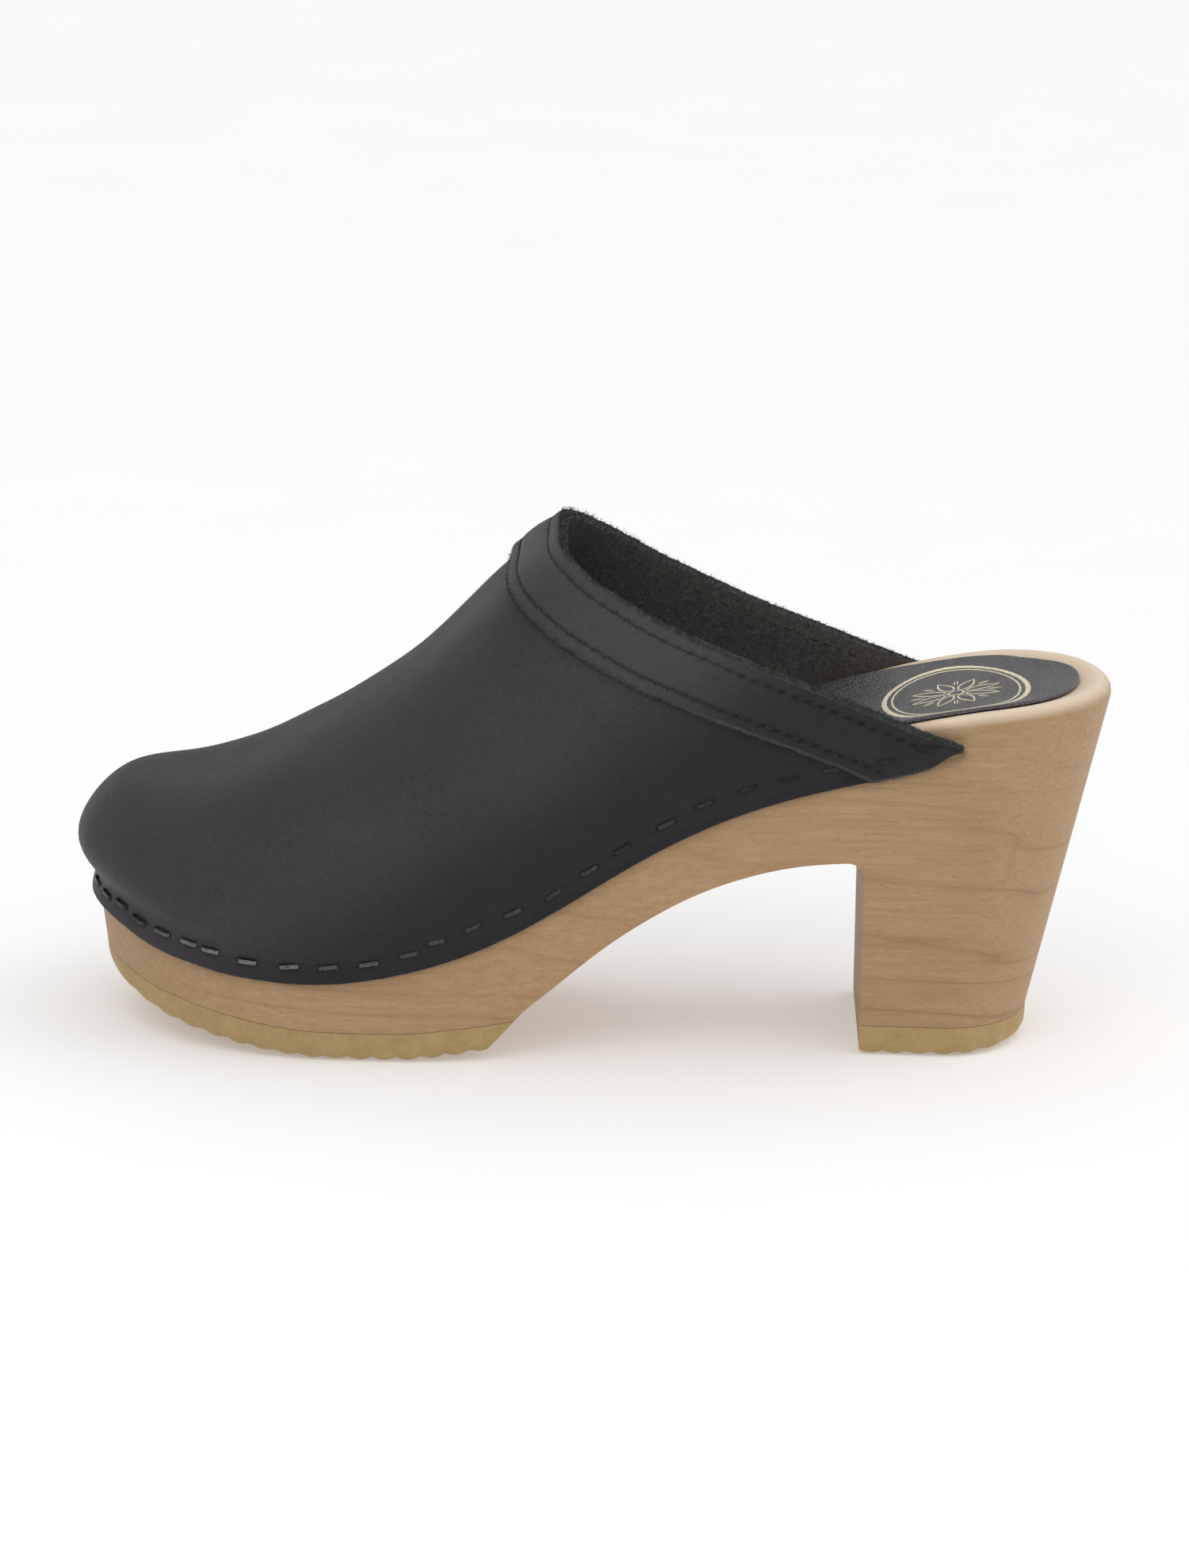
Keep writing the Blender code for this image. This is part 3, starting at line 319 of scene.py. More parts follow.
def rib_sections(foot, ridge, count=120):
    """Ribs from outline points up and over to the ridge points, with their arc fractions."""
    x = foot[:, 0]
    edge_z = leather_edge_z(x)
    spring_z = edge_z + 7.0         # the ribs rise upright to here
    upright = 14
    turn = np.linspace(0, 1, count - upright) * QUARTER
    turn = np.clip(turn[None, :], 1e-9, QUARTER - 1e-9)
    reach = np.cos(turn) ** (2 / square_side(x)[:, None])
    rise = np.sin(turn) ** (2 / square_up(x)[:, None])
    reach[:, 0], rise[:, 0] = 1, 0
    reach[:, -1], rise[:, -1] = 0, 1
    width = np.linalg.norm(foot - ridge, axis=1)[:, None]
    swell = bulge(x)[:, None] * np.sin(math.pi * np.clip(rise, 0, 1) ** 0.75) ** 1.6
    reach_out = reach + swell / np.maximum(width, 1) * reach**0.5
    plan = ridge[:, None, :] + reach_out[:, :, None] * (foot - ridge)[:, None, :]
    z = spring_z[:, None] + (roof_z(plan[:, :, 0]) - spring_z[:, None]) * rise
    dome = np.concatenate([plan, z[:, :, None]], 2)
    low_z = (edge_z[:, None]
             + (spring_z - edge_z)[:, None] * np.linspace(0, 1, upright + 1)[None, :-1])
    low = np.concatenate([np.repeat(foot[:, None, :], upright, 1), low_z[:, :, None]], 2)
    ribs = np.concatenate([low, dome], 1)
    run = arc_length(ribs, 1)
    return ribs, run / run[:, -1:]


def surface(x, y):
    """Outer face over a flat domain: the outline is its lower edge, the middle its ridge."""
    domain = np.stack([np.ravel(x), np.ravel(y)], 1).astype(float)
    result = np.zeros((len(domain), 3))
    tip = math.atan2(float(mid_line(TIP_X)) - CAPSULE[1], CAPSULE[0] - TIP_X)
    angle = np.arctan2(domain[:, 1] - CAPSULE[1], -(domain[:, 0] - CAPSULE[0]))
    near = np.where(domain[:, 0] >= CAPSULE_X, domain[:, 1] < mid_line(domain[:, 0]),
                    angle < tip)
    for side, outer in OUTER_LINES.items():
        chosen = near if side < 0 else ~near
        if not chosen.any():
            continue
        spots = domain[chosen]
        spot_x = spots[:, 0]
        straight = (spot_x >= CAPSULE_X)[:, None]
        foot = np.where(straight, outer.beside(spot_x), outer.facing(spots))
        ridge = np.where(straight, np.stack([spot_x, mid_line(spot_x)], 1), CAPSULE)
        ribs, run = rib_sections(foot, ridge)
        height = np.clip(1 - np.linalg.norm(spots - ridge, axis=1)
                         / np.linalg.norm(foot - ridge, axis=1), 0, 1)
        j = np.clip((run < height[:, None]).sum(1) - 1, 0, run.shape[1] - 2)
        i = np.arange(len(spots))
        share = (height - run[i, j]) / np.maximum(run[i, j + 1] - run[i, j], 1e-12)
        share = np.clip(share, 0, 1)[:, None]
        result[chosen] = ribs[i, j] * (1 - share) + ribs[i, j + 1] * share
    return result


def mouth_line(count=240):
    """Mouth edge in the domain and its arc length, per side, from the instep backwards."""
    scan = np.linspace(-20, 5, 2501)
    front_x = float(scan[np.argmax(topline_z(scan) - roof_z(scan) < 0)])
    lines = {}
    for side, outer in OUTER_LINES.items():
        x = front_x + (TOP_END_X - front_x) * np.linspace(0, 1, count) ** 2.2
        foot, ridge = outer.beside(x), np.stack([x, mid_line(x)], 1)
        ribs, run = rib_sections(foot, ridge, 300)
        top = topline_z(x)
        height = np.array([np.interp(top[i], ribs[i, :, 2], run[i]) for i in range(count)])
        height[0] = 1.0
        domain = np.stack([x, ridge[:, 1] + (1 - height) * (foot[:, 1] - ridge[:, 1])], 1)
        lines[side] = (domain, arc_length(surface(*domain.T)))
    return lines


MOUTH = mouth_line()


def upper_points(rise, along):
    """Outer face for rise (0 lower edge .. 1 mouth) and along (-1 near rear end .. 0 front
    .. 1 far rear end)."""
    flat = along.ravel()
    low, high = np.zeros((len(flat), 2)), np.zeros((len(flat), 2))
    for side, outer in OUTER_LINES.items():
        chosen = (flat < 0) if side < 0 else (flat >= 0)
        part = np.abs(flat[chosen])
        low[chosen] = outer.at(part * outer.length)
        domain, run = MOUTH[side]
        high[chosen] = read_line(part * run[-1], run, domain)
    share = rise.ravel()[:, None]
    domain = (1 - share) * low + share * high
    return surface(*domain.T).reshape(*rise.shape, 3)


# ------------------------------------------------------------------ mesh tools
def value_noise(seed):
    """Smooth value noise in 3-D with feature size 1, values about -1..1."""
    table = np.random.default_rng(seed).uniform(-1, 1, (32, 32, 32))

    def value(points):
        cell = np.floor(points).astype(int)
        part = points - cell
        part = part * part * (3 - 2 * part)
        total = 0
        for step in np.ndindex(2, 2, 2):
            weight = np.prod(np.where(step, part, 1 - part), axis=-1)
            corner = (cell + step) % 32
            total = total + weight * table[corner[..., 0], corner[..., 1], corner[..., 2]]
        return total

    return value


NOISE_A, NOISE_B, NOISE_C = value_noise(1), value_noise(2), value_noise(3)


def build(name, verts, faces, mats, index=None, attrs=None, smooth=40.0):
    """Mesh object from millimetre points; smooth is the sharp-edge angle in degrees."""
    mesh = bpy.data.meshes.new(name)
    points = np.asarray(verts, float) * MM
    faces = [list(map(int, face)) for face in faces]
    mesh.from_pydata(points.tolist(), [], faces)
    for mat in mats:
        mesh.materials.append(mat)
    if index is not None:
        mesh.polygons.foreach_set("material_index", np.asarray(index, np.int32))
    for key, values in (attrs or {}).items():
        layer = mesh.attributes.new(key, 'FLOAT', 'POINT')
        layer.data.foreach_set("value", np.asarray(values, np.float32))
    mesh.shade_smooth()
    mesh.set_sharp_from_angle(angle=math.radians(smooth))
    mesh.update()
    piece = bpy.data.objects.new(name, mesh)
    bpy.context.scene.collection.objects.link(piece)
    corners = points[np.array([face[:3] for face in faces])] - points.mean(0)
    if np.sum(corners[:, 0] * np.cross(corners[:, 1], corners[:, 2])) < 0:
        mesh.flip_normals()
    return piece


def tube_faces(base, rings, around, flip_start):
    """Faces of a capped tube; flip_start tells which cap is turned over."""
    faces = []
    for j in range(rings - 1):
        here, ahead = base + j * around, base + (j + 1) * around
        for i in range(around):
            k = (i + 1) % around
            faces.append([here + i, ahead + i, ahead + k, here + k])
    end = base + (rings - 1) * around
    caps = [list(range(base, base + around)), list(range(end, end + around))]
    caps[0 if flip_start else 1].reverse()
    return faces + caps


class Shell:
    """Collects faces by their corner points, sharing corners that coincide."""

    def __init__(self):
        self.verts, self.index, self.faces = [], {}, []

    def vert(self, point):
        key = tuple(round(float(value), 3) for value in point)
        if key not in self.index:
            self.index[key] = len(self.verts)
            self.verts.append(tuple(map(float, point)))
        return self.index[key]

    def grid(self, rows, flip=False):
        ids = [[self.vert(point) for point in row] for row in rows]
        for here, ahead in zip(ids, ids[1:]):
            for j in range(len(here) - 1):
                face = list(dict.fromkeys([here[j], ahead[j], ahead[j + 1], here[j + 1]]))
                if len(face) >= 3:
                    self.faces.append(face[::-1] if flip else face)

    def walls(self, rows):
        for side in (-1, 1):
            self.grid(np.stack(rows[side], 1), flip=side < 0)


def across(start, end, count, z_of=None):
    """Grid of points from line start to line end, denser near both."""
    share = (np.sin(np.linspace(-1, 1, count) * QUARTER)[None, :, None] + 1) / 2
    grid = start[:, None, :] * (1 - share) + end[:, None, :] * share
    if z_of is not None:
        grid[:, 1:-1, 2] = z_of(grid[:, 1:-1, 0], grid[:, 1:-1, 1])
    return grid


def join_ends(rows, ends):
    """Brings the two sides' rows together at their end columns."""
    for near, far in zip(rows[-1], rows[1]):
        for end in ends:
            near[end] = far[end] = 0.5 * (near[end] + far[end])


# ------------------------------------------------------------------- materials
class Mat:
    """Node tree round a Principled shader. Texture space and bump depths are in millimetres;
    ramp stops are (position, grey level or colour)."""

    def __init__(self, name):
        self.material = bpy.data.materials.new(name)
        self.material.use_nodes = True
        self.tree = self.material.node_tree
        self.shader = self.tree.nodes["Principled BSDF"]
        coords = self.node("TexCoord").outputs["Object"]
        self.coords = self.node("VectorMath", {0: coords, 3: 1 / MM}, operation='SCALE').outputs[0]
        self.relief = None
        self.colour = None

    def put(self, value, socket):
        if isinstance(value, bpy.types.NodeSocket):
            self.tree.links.new(value, socket)
        else:
            socket.default_value = (*value, 1) if socket.type == 'RGBA' else value

    def node(self, kind, inputs=None, **settings):
        node = self.tree.nodes.new("ShaderNode" + kind)
        for key, value in settings.items():
            setattr(node, key, value)
        for key, value in (inputs or {}).items():
            self.put(value, node.inputs[key])
        return node

    def stretch(self, scale, offset=(0, 0, 0)):
        inputs = {"Scale": scale, "Location": offset, "Vector": self.coords}
        return self.node("Mapping", inputs).outputs[0]

    def noise(self, scale=1.0, detail=3.0, rough=0.5, distort=0.0, stretch=None,
              offset=(0, 0, 0)):
        at = self.stretch(stretch, offset) if stretch else self.coords
        inputs = {"Scale": scale, "Detail": detail, "Roughness": rough,
                  "Distortion": distort, "Vector": at}
        return self.node("TexNoise", inputs).outputs[0]

    def voronoi(self, scale, feature, at=None):
        inputs = {"Scale": scale, "Vector": at or self.coords}
        return self.node("TexVoronoi", inputs, feature=feature).outputs["Distance"]

    def ramp(self, source, *stops):
        node = self.node("ValToRGB", {0: source})
        elements = node.color_ramp.elements
        while len(elements) < len(stops):
            elements.new(0.5)
        for element, (place, value) in zip(elements, stops):
            element.position = place
            element.color = (*value, 1) if isinstance(value, tuple) else (value,) * 3 + (1,)
        return node.outputs[0]

    def mix(self, mask, under, over):
        return self.node("Mix", {0: mask, 6: under, 7: over}, data_type='RGBA').outputs[2]

    def paint(self, over, mask, *stops):
        """Lays a colour over the present one where the mask, ramped by the stops, is high."""
        if stops:
            mask = self.ramp(mask, *stops)
        self.colour = self.mix(mask, self.colour, over)

    def math(self, operation, first, second=0.0, clamp=False):
        inputs = {0: first, 1: second, 2: 0.0}
        return self.node("Math", inputs, operation=operation, use_clamp=clamp).outputs[0]

    def times(self, first, second):
        return self.math('MULTIPLY', first, second)

    def vary(self, source, amount, base):
        """base + amount * source"""
        return self.math('ADD', self.times(source, amount), base)

    def remap(self, source, start, end, low=0.0, high=1.0, smooth=False):
        kind = 'SMOOTHSTEP' if smooth else 'LINEAR'
        inputs = {0: source, 1: start, 2: end, 3: low, 4: high}
        return self.node("MapRange", inputs, interpolation_type=kind).outputs[0]

    def attr(self, name):
        return self.node("Attribute", attribute_name=name).outputs["Fac"]

    def axes(self):
        return self.node("SeparateXYZ", {0: self.coords}).outputs

    def bump(self, height, depth, strength=1.0):
        """Adds a relief whose height runs 0..1 over the depth."""
        inputs = {"Strength": strength, "Distance": depth * MM, "Height": height}
        if self.relief is not None:
            inputs["Normal"] = self.relief
        self.relief = self.node("Bump", inputs).outputs[0]

    def done(self, rough, spec, metal=0.0, **extra):
        inputs = {"Base Color": self.colour, "Roughness": rough, "Metallic": metal,
                  "Specular IOR Level": spec}
        inputs.update({key.replace("_", " "): value for key, value in extra.items()})
        if self.relief is not None:
            inputs["Normal"] = self.relief
        for key, value in inputs.items():
            self.put(value, self.shader.inputs[key])
        return self.material


def shade(colour, factor):
    return tuple(factor * value for value in colour)


RUB_HIGHLIGHT_STRETCH = (0.32, 0.5, 0.9)
RUB_HIGHLIGHT_CENTRE = (-58, -44, 57)         # soft rub mark with a painted highlight, on the near side of the forepart


def mat_leather(name, tint=(0.0420, 0.0390, 0.0424), rough=0.50):
    mat = Mat(name)
    # relief: broad hills, pore creases and fine grain
    cells = mat.voronoi(1.55, 'DISTANCE_TO_EDGE', mat.stretch((1, 1, 1)))
    mat.bump(mat.noise(scale=0.16, detail=2.0), depth=0.9, strength=0.6)
    mat.bump(mat.ramp(cells, (0.0, 0.0), (0.14, 1.0)), depth=0.09)
    mat.bump(mat.noise(scale=3.4, rough=0.6), depth=0.12)
    # clouds and fine mottling
    mat.colour = tint
    mat.paint(shade(tint, 1.25), mat.noise(scale=0.030, detail=4.0, rough=0.6),
              (0.32, 0.0), (0.68, 1.0))
    mat.paint(shade(tint, 1.7), mat.noise(scale=0.9, detail=4.0, rough=0.7),
              (0.4, 0.0), (0.75, 0.45))
    # faint scuffs, the rub mark with a painted highlight on it, and pale specks
    mat.paint((0.050, 0.048, 0.050),
              mat.noise(scale=0.11, detail=6.0, rough=0.75, stretch=(1, 1, 0.5)),
              (0.60, 0.0), (0.74, 0.40))
    centre = tuple(place * scale for place, scale in zip(RUB_HIGHLIGHT_CENTRE, RUB_HIGHLIGHT_STRETCH))
    away = mat.node("VectorMath", {0: mat.stretch(RUB_HIGHLIGHT_STRETCH), 1: centre},
                    operation='DISTANCE').outputs[1]
    rub_and_highlight = mat.times(mat.remap(away, start=0.5, end=4.6, low=1.0, high=0.0, smooth=True),
                    mat.ramp(mat.noise(scale=0.5, detail=4.0, rough=0.7), (0.35, 0.1), (0.7, 1.0)))
    mat.paint((0.075, 0.073, 0.073), mat.times(rub_and_highlight, 0.45))
    mat.paint((0.14, 0.145, 0.13), mat.voronoi(0.16, 'F1'), (0.030, 0.4), (0.048, 0.0))
    # worn, paler leather along cut edges
    wear = mat.times(
        mat.remap(mat.attr("edge"), start=0.0, end=1.6, low=1.0, high=0.0, smooth=True),
        mat.ramp(mat.noise(scale=0.8, detail=5.0, rough=0.7), (0.35, 0.15), (0.65, 1.0)))
    mat.paint((0.050, 0.056, 0.053), mat.times(wear, 0.45))
    # painted shade: darker low down and towards the rear
    slope = mat.math('SUBTRACT', mat.axes()[2], mat.times(mat.axes()[0], 0.62))
    mat.paint((0.0130, 0.0119, 0.0134),
              mat.remap(slope, start=58.0, end=92.0, low=0.80, high=0.0, smooth=True))
    # painted shade in the pits: staple dimples and needle holes
    mat.paint((0.002, 0.002, 0.002), mat.math('MULTIPLY', mat.attr("pit_shade"), 0.95, clamp=True))
    gloss = mat.vary(mat.noise(scale=0.5, detail=4.0, rough=0.6), amount=0.16, base=rough - 0.08)
    return mat.done(rough=mat.math('ADD', gloss, mat.times(wear, 0.15)),
                    spec=mat.times(mat.math('SUBTRACT', 1.0, mat.attr("pit_shade")), 0.23),
                    Sheen_Weight=0.02, Sheen_Roughness=0.5)


def mat_cut_edge():
    """Raw cut edge: loose grey-green fibres."""
    mat = Mat("cut_edge")
    fibres = mat.noise(scale=2.6, detail=5.0, rough=0.75)
    mat.colour = mat.ramp(fibres, (0.25, (0.028, 0.032, 0.030)), (0.5, (0.078, 0.088, 0.081)),
                          (0.78, (0.185, 0.200, 0.178)))
    mat.paint((0.016, 0.019, 0.018), mat.noise(scale=0.5, rough=0.6), (0.35, 0.5), (0.7, 0.0))
    mat.bump(fibres, depth=0.5)
    mat.bump(mat.noise(scale=6.0, rough=0.7), depth=0.2)
    return mat.done(rough=0.94, spec=0.12, Sheen_Weight=0.10, Sheen_Roughness=0.6)


def mat_suede():
    mat = Mat("suede")
    pile = mat.noise(scale=1.3, detail=5.0, rough=0.8)
    hair = mat.noise(scale=0.9, detail=6.0, rough=0.8, distort=1.2, stretch=(0.45, 1.0, 1.3))
    mat.colour = mat.ramp(pile, (0.36, (0.024, 0.0215, 0.020)), (0.55, (0.080, 0.073, 0.064)),
                          (0.74, (0.26, 0.235, 0.20)))
    mat.paint((0.14, 0.125, 0.105), hair, (0.54, 0.0), (0.68, 0.6))
    mat.bump(pile, depth=0.55)
    mat.bump(hair, depth=0.5)
    return mat.done(rough=0.97, spec=0.1, Sheen_Weight=0.18, Sheen_Roughness=0.7)


def mat_wood():
    mat = Mat("alder_wood")
    # growth rings: layers stretched from toe to heel, gently wandering
    wander = mat.noise(scale=0.013, detail=2.0, stretch=(0.5, 1.0, 1.0))
    uneven = mat.noise(detail=2.0, rough=0.6, stretch=(0.002, 0.006, 0.055), offset=(3, 1, 7))
    axes = mat.axes()
    ring = mat.math('ADD', mat.times(axes[2], 0.085), mat.times(wander, 2.4))
    # rings added by the unevenness, and per millimetre of y and x
    for source, amount in ((uneven, 3.2), (axes[1], 0.022), (axes[0], 0.0062)):
        ring = mat.math('ADD', ring, mat.times(source, amount))
    late = mat.ramp(mat.math('PINGPONG', ring, 0.5),
                    (0.0, 0.0), (0.40, 0.12), (0.47, 0.55), (0.495, 1.0))
    streak = mat.noise(detail=5.0, rough=0.65, stretch=(0.028, 1.0, 1.0))
    fibre = mat.noise(detail=4.0, rough=0.7, stretch=(0.11, 3.4, 3.4))
    fleck = mat.noise(detail=2.0, rough=0.6, stretch=(0.45, 2.6, 2.6), offset=(13, 5, 2))
    mat.colour = (0.405, 0.248, 0.125)
    mat.paint((0.500, 0.322, 0.176), streak, (0.32, 0.0), (0.68, 1.0))
    cloud = mat.ramp(mat.noise(scale=0.018, detail=4.0, rough=0.6), (0.35, 0.0), (0.7, 1.0))
    mat.paint((0.350, 0.212, 0.105), mat.times(cloud, 0.35))
    patchy = mat.ramp(mat.noise(scale=0.02, rough=0.6, stretch=(0.35, 1, 1), offset=(4, 9, 1)),
                      (0.36, 0.05), (0.66, 0.55))
    mat.paint((0.205, 0.112, 0.054), mat.times(late, patchy))
    mat.paint((0.260, 0.150, 0.076), fibre, (0.5, 0.0), (0.80, 0.32))
    mat.paint((0.150, 0.082, 0.040), fleck, (0.60, 0.0), (0.74, 0.38))
    mat.paint((0.60, 0.42, 0.265), fleck, (0.26, 0.30), (0.40, 0.0))
    # painted highlight on the rounded rear rim, painted shadow in a thin line just below the
    # leather
    mat.paint((0.95, 0.78, 0.60), mat.times(mat.attr("rim"), 0.95))
    mat.paint((0.13, 0.075, 0.04), mat.times(mat.attr("leather_edge_shadow"), 0.55))
    mat.bump(fibre, depth=0.08)
    mat.bump(streak, depth=0.10)
    mat.bump(mat.noise(scale=0.35), depth=0.12, strength=0.5)
    return mat.done(rough=mat.vary(fibre, amount=0.25, base=0.42), spec=0.38)


def mat_rubber():
    mat = Mat("crepe_rubber")
    grain = mat.noise(scale=1.6, detail=4.0, rough=0.7)
    veins = mat.noise(scale=0.5, detail=4.0, rough=0.6, distort=1.5, stretch=(0.3, 1, 1.6))
    mat.colour = mat.ramp(mat.noise(scale=0.22, detail=5.0, rough=0.65),
                          (0.3, (0.420, 0.288, 0.126)), (0.7, (0.515, 0.360, 0.168)))
    mat.paint((0.28, 0.19, 0.082), grain, (0.45, 0.0), (0.8, 0.3))
    mat.paint((0.58, 0.44, 0.21), veins, (0.60, 0.0), (0.70, 0.25))
    mat.bump(grain, depth=0.22)
    mat.bump(mat.noise(scale=4.5, rough=0.6), depth=0.08)
    mat.bump(veins, depth=0.12)
    return mat.done(rough=mat.vary(grain, amount=0.2, base=0.5), spec=0.35,
                    Subsurface_Weight=0.25, Subsurface_Radius=(0.004, 0.0025, 0.001),
                    Subsurface_Scale=0.5)


def pebbled(name, pebble_depth):
    """Relief shared by the sock and its gilding."""
    mat = Mat(name)
    pebble = mat.math('SUBTRACT', 1.0, mat.voronoi(1.5, 'SMOOTH_F1'))
    crease = mat.noise(scale=0.05, detail=4.0, rough=0.65, distort=2.0, stretch=(1.0, 0.35, 1.0))
    mat.bump(mat.noise(scale=0.05, detail=2.0), depth=0.8, strength=0.4)
    mat.bump(mat.ramp(crease, (0.485, 1.0), (0.5, 0.0), (0.515, 1.0)), depth=0.10)
    mat.bump(pebble, depth=pebble_depth)
    mat.bump(mat.noise(scale=3.0, rough=0.6), depth=0.05)
    return mat


def mat_sock():
    mat = pebbled("sock_leather", pebble_depth=0.36)
    mat.colour = (0.098, 0.090, 0.098)
    # painted shade in the valleys between the pebbles
    mat.paint((0.022, 0.020, 0.024), mat.voronoi(1.5, 'DISTANCE_TO_EDGE'),
              (0.0, 1.0), (0.25, 0.0))
    mat.paint((0.125, 0.117, 0.124), mat.noise(scale=0.08, detail=4.0, rough=0.6),
              (0.4, 0.0), (0.7, 0.4))
    patches = mat.noise(scale=0.7, detail=2.0)
    return mat.done(rough=mat.vary(patches, amount=0.12, base=0.24), spec=0.85)


def mat_foil():
    mat = pebbled("gilt_foil", pebble_depth=0.06)
    mat.colour = (1.0, 0.90, 0.62)
    mat.paint((0.42, 0.34, 0.18), mat.noise(scale=1.2, detail=5.0, rough=0.8),
              (0.28, 1.0), (0.36, 0.0))
    return mat.done(rough=0.30, metal=0.12, spec=0.9)


def mat_thread(name, bright=1.0):
    mat = Mat(name)
    ply = mat.remap(mat.math('SINE', mat.times(mat.attr("twist"), 1.0)), start=-1, end=1)
    # painted shade: darker in the grooves between the plies, lighter on their crests
    mat.colour = shade((0.018, 0.016, 0.012), bright)
    mat.paint(shade((0.060, 0.053, 0.039), bright), ply)
    mat.paint(shade((0.085, 0.076, 0.056), bright), mat.noise(scale=1.1, rough=0.6),
              (0.4, 0.0), (0.7, 0.6))
    mat.bump(ply, depth=0.12)
    mat.bump(mat.noise(scale=7.0, detail=2.0, rough=0.6), depth=0.05)
    return mat.done(rough=0.7, spec=0.2)


def mat_steel():
    mat = Mat("staple_steel")
    blotch = mat.noise(scale=1.4, detail=4.0, rough=0.7)
    bright = mat.mix(mat.ramp(blotch, (0.35, 0.0), (0.7, 1.0)),
                     (0.10, 0.103, 0.103), (0.27, 0.275, 0.27))
    dark = mat.mix(mat.ramp(blotch, (0.4, 0.0), (0.75, 1.0)),
                   (0.006, 0.006, 0.007), (0.030, 0.031, 0.031))
    tarnish = mat.attr("tarnish")
    mat.colour = mat.mix(tarnish, bright, dark)
    mat.bump(mat.noise(scale=3.0, rough=0.6), depth=0.06)
    return mat.done(rough=mat.vary(blotch, amount=0.2, base=0.3), spec=0.3,
                    metal=mat.remap(tarnish, start=0.0, end=1.0, low=0.85, high=0.2))


def mat_board():
    mat = Mat("stiffener_board")
    grain = mat.noise(scale=1.2, detail=5.0, rough=0.7)
    mat.colour = mat.ramp(grain, (0.3, (0.36, 0.31, 0.22)), (0.7, (0.55, 0.49, 0.38)))
    mat.bump(grain, depth=0.2)
    return mat.done(rough=0.88, spec=0.2)


def mat_fibre():
    mat = Mat("edge_fibre")
    mat.colour = mat.ramp(mat.noise(scale=0.9, rough=0.6),
                          (0.3, (0.014, 0.016, 0.015)), (0.7, (0.065, 0.072, 0.064)))
    return mat.done(rough=0.9, spec=0.15)


def mat_floor():
    mat = Mat("studio_floor")
    mat.colour = (0.90, 0.90, 0.90)
    mat.paint((0.93, 0.93, 0.93), mat.noise(scale=0.02))
    return mat.done(rough=0.9, spec=0.1, Emission_Color=(1, 1, 1), Emission_Strength=0.25)


WOOD, RUBBER, SOCK, FOIL = mat_wood(), mat_rubber(), mat_sock(), mat_foil()
OUTER = mat_leather("black_leather")
BAND = mat_leather("band_leather", tint=(0.0520, 0.0482, 0.0526), rough=0.47)
EDGE, SUEDE, THREAD = mat_cut_edge(), mat_suede(), mat_thread("waxed_thread")
STEEL, BOARD = mat_steel(), mat_board()
INNER_THREAD = mat_thread("inner_thread", bright=1.3)
FIBRE = mat_fibre()


# ------------------------------------------------------------------ wooden base
def wood_side(col_x, side, breast, shelf):
    """Rows of one wall from the footbed down, and the heel block's rows below its shelf."""
    # the rim is rounded more at the heel than beside the upper
    radius = RIM_R + 2.2 * np.clip((col_x - 84) / 28, 0, 1)
    full = np.stack([col_x, rim_y(col_x, side)], 1)
    footbed_z = top_z(*inset_outline(col_x, side, radius).T)
    rows = []
    for turn in np.linspace(0, QUARTER, 8):
        inset = 1 - math.sin(turn)
        z = (rim_z(col_x) - radius * (1 - math.cos(turn))
             - (rim_z(col_x) - footbed_z) * inset ** 2)
        plan = inset_outline(col_x, side, radius * inset)
        plan = plan + wall(col_x, side, z)[:, :2] - full
        rows.append(np.column_stack([plan, z]))
    rim_foot_z = rows[-1][:, 2]
    edge_z = np.minimum(leather_edge_z(col_x), rim_foot_z - 1.0)
    for share in (0.35, 0.7, 1.0):
        rows.append(wall(col_x, side, rim_foot_z + (edge_z - rim_foot_z) * share))
    in_heel = (np.arange(len(col_x)) >= breast)[:, None]
    foot = np.where(in_heel, wall(col_x, side, shelf + 0 * col_x),
                    wall_foot(col_x, side, under_z))
    for share in np.linspace(0, 1, 13)[1:-1]:
        rows.append(wall(col_x, side, edge_z + (foot[:, 2] - edge_z) * share))
    rows.append(foot)
    lower = [foot] + [wall(col_x, side, shelf + (BASE_Z - shelf) * share)
                      for share in np.linspace(0, 1, 17)[1:]]
    return rows, lower


